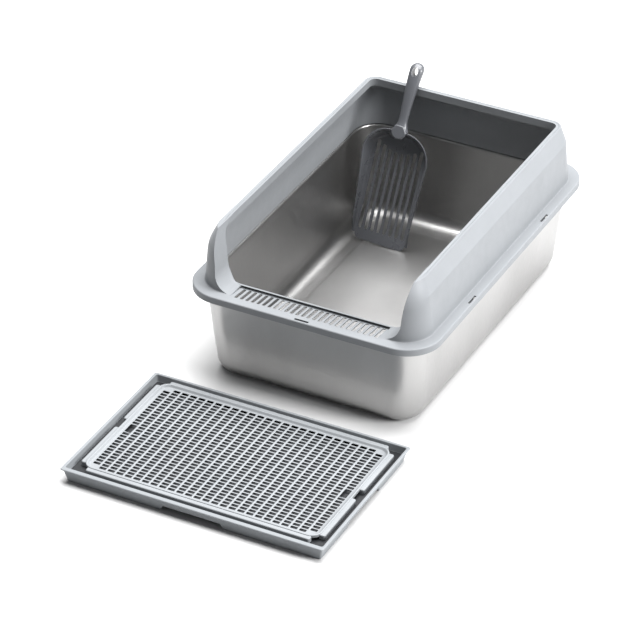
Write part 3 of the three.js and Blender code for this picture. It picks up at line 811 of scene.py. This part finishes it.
def wall_shape():
    """The leaning wall: up the outside, over the rim, down the inside, closed at both posts."""
    shape = Shape()
    levels = wall_levels()
    outer = [outer_row(z) for z in levels]
    band_corner = RIM_CORNER - RIM_WIDTH
    inside = []
    for z in levels:
        if z >= BAND_BOTTOM:
            inside.append((z, inner_row(z, RIM_INNER, band_corner)))
        if z <= BAND_BOTTOM - BAND_EASE:
            thick = FOOT_WALL + share_of(z, FLANGE_TOP, LOWER_HEIGHT) * (WALL - FOOT_WALL)
            half = inset(wall_half(z), thick)
            inside.append((z, inner_row(z, half, wall_corner(z) - thick)))
    inside.sort(key=lambda pair: pair[0])
    rows = [shape.add(at_z(row, z)) for row, z in zip(outer[:-1], levels)]
    across = [shape.add(column) for column in rim_columns(outer[-1], inside[-1][1])]
    down = [shape.add(at_z(row, z)) for z, row in inside[:-1]][::-1]
    shape.skin(rows + across + down + [rows[0]], closed=False)
    for end in (0, -1):
        previous = None
        for z, low_row in zip(levels[:-1], outer):
            row = inner_row(z, RIM_INNER if z >= BAND_BOTTOM else wall_half(z), band_corner)
            points = [mix(low_row[end], row[end], share) for share in RIM_SHARES]
            ids = shape.add(at_z(points, z))
            if previous:
                shape.skin([previous, ids], closed=False)
            previous = ids
        shape.skin([previous, [column[end] for column in across]], closed=False)
    return shape


def sill_edge_outline():
    """The flange's inner edge in plan: free at the sill, hidden inside the wall elsewhere."""
    half = inset(FOOT_HALF, HIDDEN_EDGE)
    row = []
    for i in range(CORNER_STEPS + 1):
        x = ENTRY_HALF - SILL_TURN + SILL_TURN * i / CORNER_STEPS
        row.append((x, sill_ease(x, POST_BACK) - HIDDEN_EDGE * smoothstep(i / HIDDEN_POINTS)))
    row += arc((half[0] - POST_CORNER, POST_BACK - HIDDEN_EDGE + POST_CORNER), POST_CORNER, 3)
    row += arc((half[0] - FOOT_CORNER, half[1] - FOOT_CORNER), FOOT_CORNER, 0)
    return row + mirrored(row)


def six_places(near, far, corner):
    """Outlines along the flange's edge, between two distances from it: one at each end, two a side."""
    half, middle, deep = WINDOW_LENGTH / 2, (near + far) / 2, (far - near) / 2
    outlines = []
    for way in (-1, 1):
        place = (0, way * (FLANGE_HALF[1] - middle))
        outlines.append(rounded_rect((half, deep), corner, TINY_STEPS, place))
        for end in (-1, 1):
            place = (way * (FLANGE_HALF[0] - middle), end * SIDE_WINDOW_PLACE)
            outlines.append(rounded_rect((deep, half), corner, TINY_STEPS, place))
    return outlines


def flange_shape():
    shape = Shape()
    under = FLANGE_TOP - FLANGE_PLATE
    skirt_inner = rounded_rect(inset(FLANGE_HALF, SKIRT_WALL), FLANGE_CORNER - SKIRT_WALL)
    rings = [at_z(skirt_inner, under), at_z(skirt_inner, SKIRT_BOTTOM)]
    rings.append(at_z(rounded_rect(FLANGE_HALF, FLANGE_CORNER), SKIRT_BOTTOM))
    shape.loft(rings + rounded_top(FLANGE_HALF, FLANGE_CORNER, FLANGE_TOP, FLANGE_ROUND))
    top = rounded_rect(inset(FLANGE_HALF, FLANGE_ROUND), FLANGE_CORNER - FLANGE_ROUND)
    holes = [sill_edge_outline(), panel_outline(0)]
    holes += six_places(WINDOW_NEAR, WINDOW_FAR, WINDOW_CORNER)
    shape.fill([at_z(outline, FLANGE_TOP) for outline in [top] + holes])
    for hole in holes:
        shape.loft([at_z(hole, FLANGE_TOP), at_z(hole, under)])
    shape.fill([at_z(outline, under) for outline in [skirt_inner] + holes])
    return shape


def panel_outline(grow):
    half = (PANEL_HALF + grow, PANEL_DEPTH / 2 + grow)
    return rounded_rect(half, PANEL_CORNER + grow, PANEL_CORNER_STEPS, (0, PANEL_MIDDLE))


def on_panel(outline, down):
    """The outline laid on the panel, which leans down towards the ridge, or a little under it."""
    slope = PANEL_DROP / PANEL_DEPTH
    return [(x, y, FLANGE_TOP - slope * (y - PANEL_FRONT) - down) for x, y in outline]


def panel_shape():
    """The slotted panel of the sill, a thin sheet of its own thickness."""
    shape = Shape()
    panel = panel_outline(PANEL_OVERLAP)
    places = [((i - (SLOT_COUNT - 1) / 2) * SLOT_PITCH, PANEL_MIDDLE) for i in range(SLOT_COUNT)]
    wide, slots = [[rounded_rect(inset(SLOT_HALF, -grow), SLOT_CORNER + grow, PANEL_CORNER_STEPS, place)
                    for place in places] for grow in (SLOT_CHAMFER, 0)]
    shape.fill([on_panel(outline, 0) for outline in [panel] + wide])
    for mouth, slot in zip(wide, slots):
        shape.loft([on_panel(mouth, 0), on_panel(slot, SLOT_CHAMFER), on_panel(slot, PANEL_SHEET)])
    shape.fill([on_panel(outline, PANEL_SHEET) for outline in [panel] + slots])
    shape.loft([on_panel(panel, 0), on_panel(panel, PANEL_SHEET)])
    return shape


def ridge_shape():
    """The ridge along the sill's inner edge, rounded on top."""
    half = ENTRY_HALF - SILL_TURN
    low = FLANGE_TOP - PANEL_DROP - PANEL_SHEET
    rings = []
    for x in (-half, half):
        ring = [(x, SILL_INNER, low)]
        for middle, quarter in ((SILL_INNER - RIDGE_ROUND, 0), (RIDGE_FRONT + RIDGE_ROUND, 1)):
            centre = (middle, FLANGE_TOP + RIDGE_RISE - RIDGE_ROUND)
            ring += [(x, y, z) for y, z in arc(centre, RIDGE_ROUND, quarter, SMALL_STEPS)]
        ring.append((x, RIDGE_FRONT, low))
        rings.append(ring)
    return Shape().solid(rings)


def lug_shapes():
    """Catch lugs inside the skirt, under the windows."""
    low = SKIRT_BOTTOM + LUG_LIFT
    outlines = six_places(SKIRT_WALL / 2, SKIRT_WALL + LUG_REACH, LUG_CORNER)
    return [Shape().solid([at_z(outline, z) for z in (low, low + LUG_HEIGHT)]) for outline in outlines]


def make_surround(material):
    wall = round_edges(wall_shape().to_bmesh(), RIM_ROUND)
    parts = [wall] + [make().to_bmesh() for make in (flange_shape, panel_shape, ridge_shape)]
    parts += [lug.to_bmesh() for lug in lug_shapes()]
    bm = joined(parts)
    new_piece("surround_moulding", bm, material, "surround", "enclosure")


# Scoop

STAND = Matrix.Rotation(math.pi / 2, 4, "X")    # from drawn flat to stood on its tip, open side to the front


def scoop_place():
    """Turns the standing scoop and moves it to the box of its shovel in the frame, in metres."""
    turn = Matrix.Rotation(SCOOP_ROLL, 4, "Y") @ Matrix.Rotation(-SCOOP_LEAN, 4, "X")
    corners = [turn @ Vector((x, y, -z)) for x, y, z in shovel_corner_points()]
    place = []
    for axis in range(3):
        low, high = min(c[axis] for c in corners), max(c[axis] for c in corners)
        place.append((SHOVEL_LOW[axis] + SHOVEL_HIGH[axis] - low - high) / 2)
    return Matrix.Scale(MM, 4) @ Matrix.Translation(place) @ turn @ Matrix.Scale(1 / MM, 4)


def shovel_corner_points():
    points = []
    for share in (0, 1):
        points += [(x, -share * shovel_depth(y), -y) for x, y in shovel_path(share)]
    for wall in (0, SHOVEL_TIP_WALL):
        points += [(x, -wall, -y) for x, y in shovel_tip()]
    return points


def shovel_depth(y):
    return SHOVEL_DEPTH + share_of(-y, 0, SHOVEL_LENGTH) * (SHOVEL_TIP_WALL - SHOVEL_DEPTH)


def shovel_path(share):
    """Plan of the shovel's edge, open at the tip: up the right side, over the shoulder and down."""
    half = SHOVEL_BASE_HALF + share * (SHOVEL_RIM_HALF - SHOVEL_BASE_HALF)
    top = -(1 - share) * (SHOVEL_RIM_HALF - SHOVEL_BASE_HALF)
    start = (SHOVEL_TIP_HALF, -SHOVEL_LENGTH + SHOVEL_TIP_CORNER)
    turn = arc((half - SHOVEL_SHOULDER, top - SHOVEL_SHOULDER), SHOVEL_SHOULDER, 0)
    right = resample([start, turn[0]], SHOVEL_SIDE_POINTS)[:-1] + turn
    right += resample([turn[-1], (0, top)], SHOVEL_TOP_POINTS)[1:-1]
    return right + [(0, top)] + mirrored(right)


def shovel_tip():
    """The tip's edge, from its left corner round to its right corner."""
    half = SHOVEL_TIP_HALF - SHOVEL_FILLET
    centre = (half - SHOVEL_TIP_CORNER, -SHOVEL_LENGTH + SHOVEL_TIP_CORNER)
    right = arc(centre, SHOVEL_TIP_CORNER, 3, SMALL_STEPS)
    return mirrored(right) + right


def inward(path):
    """Unit vectors that point into the shovel, square to its edge, and straight across at the tip."""
    normals = []
    for i in range(len(path)):
        a, b = Vector(path[max(i - 1, 0)]), Vector(path[min(i + 1, len(path) - 1)])
        along = (b - a).normalized()
        normals.append((-along.y, along.x))
    normals[0], normals[-1] = (-1, 0), (1, 0)
    return normals


def slot_cutters():
    cutters = []
    middle = (SHOVEL_SLOTS - 1) / 2
    for i in range(SHOVEL_SLOTS):
        place = i - middle
        top = -(SHOVEL_SLOT_TOP + SHOVEL_SLOT_DIP * math.cos(abs(place) / middle * math.pi / 2))
        foot = -(SHOVEL_LENGTH - SHOVEL_SLOT_FOOT)
        half = (SHOVEL_SLOT_HALF, (top - foot) / 2)
        centre = (place * SHOVEL_SLOT_PITCH, (top + foot) / 2)
        outline = rounded_rect(half, SHOVEL_SLOT_HALF, SMALL_STEPS, centre)
        cutter = Shape().solid([at_z(outline, z) for z in (-SHOVEL_SHEET, 2 * SHOVEL_SHEET)])
        cutters.append(cutter.to_bmesh())
    return cutters


def shovel_shape():
    """The dish, drawn flat with its open side up."""
    shape = Shape()
    low, high = shovel_path(0), shovel_path(1)
    normals = inward(low)
    ends = len(low) - 1

    def row(height, skin):
        points = []
        for i, (a, b, n) in enumerate(zip(low, high, normals)):
            near = smoothstep(min(i, ends - i) / SHOVEL_TIP_FADE)
            wall = SHOVEL_SHEET + (shovel_depth(a[1]) - SHOVEL_SHEET) * near
            z = height(wall)
            x, y = mix(a, b, z / SHOVEL_DEPTH)
            points.append((x + n[0] * skin, y + n[1] * skin, z))
        return points

    def fillet(skin):
        radius = SHOVEL_FILLET - skin
        return [row(lambda wall, z=skin + radius * up: min(z, wall), skin + radius * back)
                for up, back in quarter_turn()]

    sheet, lip = SHOVEL_SHEET, SHOVEL_LIP
    under_lip = [row(lambda wall: max(wall - 2 * lip, min(SHOVEL_FILLET, wall)), skin) for skin in (0, sheet)]
    rows = fillet(0) + under_lip[:1]
    for i in range(SMALL_STEPS + 1):
        angle = i / SMALL_STEPS * math.pi
        out = (1 - math.cos(angle)) * (sheet + lip) / 2 - lip
        up = math.sin(angle)
        rows.append(row(lambda wall, up=up: wall - lip * (1 - up), out))
    rows += under_lip[1:] + fillet(sheet)[::-1]
    ids = [shape.add(points) for points in rows]
    shape.skin(ids, closed=False)
    tip = shovel_tip()
    for level, edge in ((0, rows[0]), (sheet, rows[-1])):
        shape.fill([at_z(edge + tip[1:-1], level)])
    shape.loft([at_z(tip, 0), at_z(tip, sheet)], closed=False)
    for end in (0, -1):
        shape.cap([row_ids[end] for row_ids in ids])
    return shape


def make_shovel(material):
    bm = turned(cut_away(shovel_shape().to_bmesh(), slot_cutters()), scoop_place() @ STAND)
    new_piece("scoop_dish", bm, material, "scoop", "scoop_shovel")


def handle_centre(z):
    return HANDLE_STAND - HANDLE_BOW * max(z / HANDLE_LENGTH, 0) ** HANDLE_BOW_POWER


def handle_ring(z, shrink):
    """A flattened oval across the handle, wider at its root and its end."""
    grown = smoothstep((z - HANDLE_NECK_Z) / (HANDLE_LENGTH - HANDLE_NECK_Z))
    root = min(max(1 - z / HANDLE_NECK_Z, 0), 1)
    wide = HANDLE_NECK_HALF + grown * (HANDLE_END_HALF - HANDLE_NECK_HALF)
    wide = (wide + root ** 2 * (TONGUE_HALF - HANDLE_NECK_HALF)) * shrink
    reach = SHOVEL_DEPTH + FIT_GAP + TONGUE_THICK - HANDLE_STAND
    swell = grown * (HANDLE_END_THICK - HANDLE_NECK_THICK)
    thick = (HANDLE_NECK_THICK + root ** 2 * (reach - HANDLE_NECK_THICK) + swell) * shrink
    points = []
    for i in range(HANDLE_POINTS):
        angle = i / HANDLE_POINTS * 2 * math.pi
        c, s = math.cos(angle), math.sin(angle)
        x = wide * math.copysign(abs(c) ** OVAL_POWER, c)
        y = thick * math.copysign(abs(s) ** OVAL_POWER, s)
        points.append((x, y - handle_centre(z) - swell, z))
    return points


def handle_shape():
    start = HANDLE_LENGTH - HANDLE_END_HALF
    low = FIT_GAP + HANDLE_FOOT_RISE
    rings = [handle_ring(FIT_GAP, HANDLE_FOOT_SHRINK)]
    rings += [handle_ring(low + (start - low) * i / HANDLE_ROWS, 1) for i in range(HANDLE_ROWS + 1)]
    for i in range(1, 2 * SMALL_STEPS):
        angle = i / (2 * SMALL_STEPS) * math.pi / 2
        rings.append(handle_ring(start + HANDLE_END_HALF * math.sin(angle), math.cos(angle)))
    return Shape().solid(rings)


def tongue_shape():
    """The U-shaped root plate that laps over the shovel's edge, drawn flat, open side up."""
    low = SHOVEL_DEPTH + FIT_GAP
    centre = (0, TONGUE_HALF - TONGUE_DROP)
    outline = arc(centre, TONGUE_HALF, 2) + arc(centre, TONGUE_HALF, 3)[1:]
    outline += [(HANDLE_NECK_HALF, HANDLE_NECK_Z / 2), (-HANDLE_NECK_HALF, HANDLE_NECK_Z / 2)]
    middle = Vector((0, (TONGUE_HALF - TONGUE_DROP + HANDLE_NECK_Z / 2) / 2))

    def shrunk(by):
        points = []
        for x, y in outline:
            away = Vector((x, y)) - middle
            points.append(tuple(middle + away * (1 - by / away.length)))
        return points

    rings = [at_z(shrunk(TONGUE_ROUND / 2), low), at_z(outline, low + TONGUE_ROUND / 2)]
    for back, down in quarter_turn():
        rings.append(at_z(shrunk(TONGUE_ROUND * back), low + TONGUE_THICK - TONGUE_ROUND * down))
    return Shape().solid(rings)


def hang_hole_shape():
    hole = []
    for i in range(HANDLE_POINTS):
        angle = i / HANDLE_POINTS * 2 * math.pi
        hole.append((HOLE_HALF[0] * math.cos(angle),
                     HANDLE_LENGTH - HOLE_INSET + HOLE_HALF[1] * math.sin(angle)))
    reach = HANDLE_STAND + SHOVEL_DEPTH
    return Shape().solid([at_z(hole, -reach), at_z(hole, reach)])


def make_handle(material):
    pin, tongue = [turned(shape.to_bmesh(), STAND) for shape in (hang_hole_shape(), tongue_shape())]
    bar = round_edges(cut_away(handle_shape().to_bmesh(), [pin]), HOLE_ROUND)
    bm = turned(joined([bar, tongue]), scoop_place())
    new_piece("scoop_grip", bm, material, "scoop", "scoop_handle")


# Litter mat, drawn round its own middle

def middle_and_half(low, high):
    middle = ((low[0] + high[0]) / 2, (low[1] + high[1]) / 2)
    return middle, (high[0] - middle[0], high[1] - middle[1])


TRAY_MIDDLE, TRAY_HALF = middle_and_half(TRAY_LOW, TRAY_HIGH)


def tray_shape():
    top, rim = TRAY_HIGH[2], TRAY_RIM
    under = top - rim

    def ring(side, end, z, middle=(0, 0)):
        half = (TRAY_HALF[0] - side, TRAY_HALF[1] - end)
        return at_z(rounded_rect(half, TRAY_CORNER, SMALL_STEPS, middle), z)

    end_rim = (TRAY_FRONT_RIM + TRAY_BACK_RIM) / 2
    pocket = (0, (TRAY_FRONT_RIM - TRAY_BACK_RIM) / 2)
    roof = TRAY_FLOOR_TOP - TRAY_FLOOR
    lean = TRAY_TAPER + (TRAY_OVERHANG - TRAY_TAPER) * roof / under
    outside = ((lean + TRAY_WALL, roof), (TRAY_TAPER + TRAY_WALL, 0), (TRAY_TAPER + TRAY_FOOT_EDGE, 0),
               (TRAY_TAPER, TRAY_FOOT_EDGE), (TRAY_OVERHANG, under), (TRAY_EDGE, under),
               (0, under + TRAY_EDGE))
    rings = [ring(back, back, z) for back, z in outside]
    for back, down in quarter_turn():
        rings.append(ring(back * rim * TRAY_RIM_OUT, back * rim, top - (rim - TRAY_RIM_EDGE) * down))
    for back, down in quarter_turn()[::-1]:
        back = back * rim * TRAY_RIM_IN
        rings.append(ring(TRAY_SIDE_RIM - back, end_rim - back, top - rim * TRAY_RIM_OUT * down, pocket))
    for slope, z in TRAY_POCKET_FOOT:
        rings.append(ring(TRAY_SIDE_RIM + slope, end_rim + slope, TRAY_FLOOR_TOP + z, pocket))
    return Shape().solid(rings)


def tray_cutters():
    low, high = TRAY_CUT_LENGTH / 2, TRAY_CUT_LENGTH / 2 - TRAY_CUT_SLOPE
    outline = [(-low, -TRAY_CUT_PAST), (low, -TRAY_CUT_PAST), (low, 0), (high, TRAY_CUT_HEIGHT),
               (-high, TRAY_CUT_HEIGHT), (-low, 0)]
    cutters = []
    for side in (0, 1):
        reach = TRAY_HALF[1 - side]
        for way in (0, 1):
            ends = (reach - TRAY_CUT_REACH, reach + TRAY_CUT_PAST)
            cutter = Shape().solid([at_z(outline, z) for z in ends])
            turn = Matrix.Rotation(side * math.pi / 2 + way * math.pi, 4, "Z")
            cutters.append(turned(cutter.to_bmesh(), turn @ STAND))
    return cutters


def to_middle(middle):
    return Matrix.Translation((middle[0] * MM, middle[1] * MM, 0))


def make_tray(material):
    bm = turned(cut_away(tray_shape().to_bmesh(), tray_cutters()), to_middle(TRAY_MIDDLE))
    new_piece("mat_frame", bm, material, "tray", "mat_tray")


GRID_MIDDLE, GRID_HALF = middle_and_half(GRID_LOW, GRID_HIGH)
GRID_TOP = GRID_HIGH[2]
RIB_TOP = GRID_TOP - GRID_SINK
GRID_LEVEL = RIB_TOP - GRID_RIB_RISE
GRID_UNDER = RIB_TOP - GRID_PLATE
BLOCK_HALF = (GRID_COLUMNS * GRID_PITCH[0] / 2, GRID_ROWS * GRID_PITCH[1] / 2)
PLATE_HALF = inset(GRID_HALF, LIP_WIDTH)
SLOT_STRAIGHT = inset(GRID_SLOT_HALF, GRID_SLOT_CORNER)


def has_slot(column, row):
    """The four corner cells of the plate have no slot."""
    inside = 0 <= column < GRID_COLUMNS and 0 <= row < GRID_ROWS
    outer = column in (0, GRID_COLUMNS - 1)
    return inside and not (outer and row in (0, GRID_ROWS - 1))


def in_window(column, row):
    return column in (0, GRID_COLUMNS - 1) and WINDOW_FIRST <= row < WINDOW_FIRST + WINDOW_ROWS


def cell_centre(column, row):
    return ((column + 0.5) * GRID_PITCH[0] - BLOCK_HALF[0], (row + 0.5) * GRID_PITCH[1] - BLOCK_HALF[1])


def rib_height(x, y, column, row):
    """Ribs between columns stand up; they end at the edge of the slotted field."""
    way = 1 if x > 0 else -1
    up = (y > 0) - (y < 0) if abs(y) == GRID_PITCH[1] / 2 else 0
    around = [(column, row), (column + way, row), (column, row + up), (column + way, row + up)]
    return RIB_TOP if all(has_slot(*place) for place in around) else GRID_LEVEL


def cell_edge(column, row):
    """The cell's border in step with the slot's outline: three points a corner, rear right first."""
    px, py = GRID_PITCH[0] / 2, GRID_PITCH[1] / 2
    corner = [(px, SLOT_STRAIGHT[1]), (px, py), (SLOT_STRAIGHT[0], py)]
    points = corner + mirrored(corner)
    points += [(-x, -y) for x, y in points]
    cx, cy = cell_centre(column, row)
    ring = []
    for x, y in points:
        z = rib_height(x, y, column, row) if abs(x) == px else GRID_LEVEL
        ring.append((cx + x, cy + y, z))
    return ring


def slot_rings(centre, half=GRID_SLOT_HALF):
    """A slot's chamfered mouth and its wall, from the top down."""
    rings = []
    for grow, z in ((GRID_CHAMFER, GRID_LEVEL), (0, GRID_LEVEL - GRID_CHAMFER), (0, GRID_UNDER)):
        outline = rounded_rect(inset(half, -grow), GRID_SLOT_CORNER + grow, TINY_STEPS, centre)
        rings.append(at_z(outline, z))
    return rings


def add_cell(shape, column, row):
    edge = cell_edge(column, row)
    centre = cell_centre(column, row)
    shoulder = []
    for x, y, z in edge:
        across = x - centre[0]
        back = math.copysign(GRID_RIB_HALF, across) if abs(across) > GRID_SLOT_HALF[0] else 0
        shoulder.append((x - back, y, z))
    rings = [edge, shoulder] + slot_rings(centre) + [at_z(edge, GRID_UNDER)]
    rows = [shape.add(ring) for ring in rings]
    shape.skin(rows[1:])
    for i in range(len(edge)):
        j = (i + 1) % len(edge)
        if abs(edge[i][0] - edge[j][0]) < MERGE_GAP:
            shape.faces.append((rows[0][i], rows[0][j], rows[1][j], rows[1][i]))


def field_edge():
    """Border of the slotted field, with the corner cells left out."""
    (half_x, half_y), (pitch_x, pitch_y), (near_x, near_y) = BLOCK_HALF, GRID_PITCH, SLOT_STRAIGHT
    side = []
    for row in range(1, GRID_ROWS - 1):
        y = cell_centre(0, row)[1]
        side += [(half_x, y - pitch_y / 2), (half_x, y - near_y), (half_x, y + near_y)]
    step_x, step_y = half_x - pitch_x, half_y - pitch_y
    x, y = half_x - pitch_x / 2, half_y - pitch_y / 2
    notch = [(x + near_x, step_y), (x - near_x, step_y), (step_x, step_y)]
    notch += [(step_x, y - near_y), (step_x, y + near_y), (step_x, half_y)]
    back = []
    for column in range(GRID_COLUMNS - 2, 0, -1):
        x = cell_centre(column, 0)[0]
        back += [(x + near_x, half_y), (x - near_x, half_y), (x - pitch_x / 2, half_y)]
    half_round = side + [(half_x, step_y)] + notch + back[:-1] + mirrored(notch)
    return tidy_outline(half_round + [(-x, -y) for x, y in half_round])


def tidy_outline(outline):
    """Drops points that repeat the one before."""
    kept = []
    for p in outline:
        if not kept or math.dist(p, kept[-1]) > MERGE_GAP:
            kept.append(p)
    if math.dist(kept[0], kept[-1]) < MERGE_GAP:
        kept.pop()
    return kept


def window_hole(shape, column):
    """A finger window in place of a few slots; its border goes up the right side and down the left."""
    rows = range(WINDOW_FIRST, WINDOW_FIRST + WINDOW_ROWS)
    cells = [cell_edge(column, row) for row in rows]
    edge = cells[0][10:11]
    for cell in cells:
        edge += cell[11:] + cell[:2]
    edge += cells[-1][2:5]
    for cell in reversed(cells):
        edge += cell[5:8]
    edge = tidy_outline(edge + cells[0][8:10])
    centre = mix(cell_centre(column, rows[0]), cell_centre(column, rows[-1]), 0.5)
    half = (GRID_SLOT_HALF[0], GRID_SLOT_HALF[1] + (WINDOW_ROWS - 1) * GRID_PITCH[1] / 2)
    rings = slot_rings(centre, half)
    shape.fill([edge, rings[0]])
    shape.loft(rings)
    shape.fill([at_z(edge, GRID_UNDER), rings[-1]])


def grid_plate_shape():
    shape = Shape()
    for column in range(GRID_COLUMNS):
        for row in range(GRID_ROWS):
            if has_slot(column, row) and not in_window(column, row):
                add_cell(shape, column, row)
    for column in (0, GRID_COLUMNS - 1):
        window_hole(shape, column)
    rings = []
    for back, z in BORDER_PROFILE:
        share = back / BORDER_PROFILE[-1][0]
        corner = GRID_CORNER + share * (GRID_INNER_CORNER - GRID_CORNER)
        outline = rounded_rect(inset(PLATE_HALF, back), corner)
        rings.append(at_z(outline, GRID_TOP - z if z >= 0 else GRID_UNDER))
    shape.loft(rings)
    edge = field_edge()
    for ring, level in ((rings[-1], GRID_LEVEL), (rings[0], GRID_UNDER)):
        shape.fill([at_z(ring, level), at_z(edge, level)])
    return shape


def lip_shapes():
    """Rounded lips along the four sides, open at the corners and in the middle of the ends."""
    low, high = GRID_LOW[2], GRID_TOP - LIP_STEP
    reach = inset(PLATE_HALF, LIP_CORNER_GAP)
    overlap = LIP_WIDTH / 2
    across = (LIP_WIDTH + overlap) / 2
    out = (LIP_WIDTH - overlap) / 2
    lips = []
    for way in (-1, 1):
        lips.append(((0, way * (PLATE_HALF[1] + out)), (reach[0], across)))
        for end in (-1, 1):
            length = (reach[1] - LIP_NOTCH / 2) / 2
            lips.append(((way * (PLATE_HALF[0] + out), end * (reach[1] - length)), (across, length)))
    shapes = []
    for place, half in lips:
        rings = [at_z(rounded_rect(half, LIP_END_ROUND, SMALL_STEPS, place), low)]
        rings += rounded_top(half, LIP_END_ROUND, high, LIP_ROUND, SMALL_STEPS, place)
        shapes.append(Shape().solid(rings))
    return shapes


def make_grid(material):
    parts = [grid_plate_shape().to_bmesh()] + [lip.to_bmesh() for lip in lip_shapes()]
    bm = turned(joined(parts), to_middle(GRID_MIDDLE))
    new_piece("mat_slotted_plate", bm, material, "grid", "mat_grid")


# Stage: floor, light and camera

def make_floor():
    material, tree, shader = material_nodes("studio_floor")
    set_input(tree, shader, "Base Color", colour_between(tree, noise(tree, *FLOOR_CLOUDS), *FLOOR_SHADES))
    set_input(tree, shader, "Roughness", FLOOR_ROUGHNESS)
    shape = Shape()
    shape.cap(shape.add(at_z(rounded_rect((FLOOR_HALF, FLOOR_HALF), FLOOR_CORNER, TINY_STEPS), 0)))
    new_object("floor", shape.to_bmesh(), material)


def area_light(name, place, target, size, power):
    light = bpy.data.lights.new(name, "AREA")
    light.shape = "RECTANGLE"
    light.size, light.size_y = size
    light.energy = power
    obj = add_object(name, light)
    obj.location = place
    aim = Vector(target) - Vector(place)
    obj.rotation_euler = aim.to_track_quat("-Z", "Y").to_euler()


def make_light():
    area_light("key_light", *KEY_LIGHT)
    area_light("top_light", *TOP_LIGHT)
    world = bpy.data.worlds.new("studio")
    world.use_nodes = True
    background = world.node_tree.nodes["Background"]
    background.inputs["Color"].default_value = WORLD_COLOUR
    background.inputs["Strength"].default_value = WORLD_STRENGTH
    bpy.context.scene.world = world
    bpy.context.scene.view_settings.view_transform = "Standard"


def make_camera():
    az, el, roll = CAMERA_AZIMUTH, CAMERA_ELEVATION, CAMERA_ROLL
    back = Vector((math.sin(az) * math.cos(el), -math.cos(az) * math.cos(el), math.sin(el)))
    right = Vector((math.cos(az), math.sin(az), 0))
    up = back.cross(right)
    side = right * math.cos(roll) + up * math.sin(roll)
    top = up * math.cos(roll) - right * math.sin(roll)
    camera = bpy.data.cameras.new("camera")
    camera.lens = CAMERA_LENS
    camera.sensor_width = CAMERA_SENSOR
    camera.clip_end = CAMERA_FAR
    obj = add_object("camera", camera)
    turn = Matrix((side, top, back)).transposed().to_4x4()
    obj.matrix_world = Matrix.Translation(CAMERA_PLACE) @ turn
    bpy.context.scene.camera = obj


make_camera()
make_light()
make_floor()

SCOOP = moulded_plastic("slate_plastic", *SLATE_PLASTIC)
TRAY = moulded_plastic("tray_plastic", *TRAY_PLASTIC)
# Painted shade on the tray's pocket floor
paint_pocket_shade(TRAY)

make_pan(brushed_steel("drawn_steel"))
make_surround(moulded_plastic("grey_plastic", *GREY_PLASTIC))
make_shovel(SCOOP)
make_handle(SCOOP)
make_tray(TRAY)
make_grid(moulded_plastic("grid_plastic", *GRID_PLASTIC))
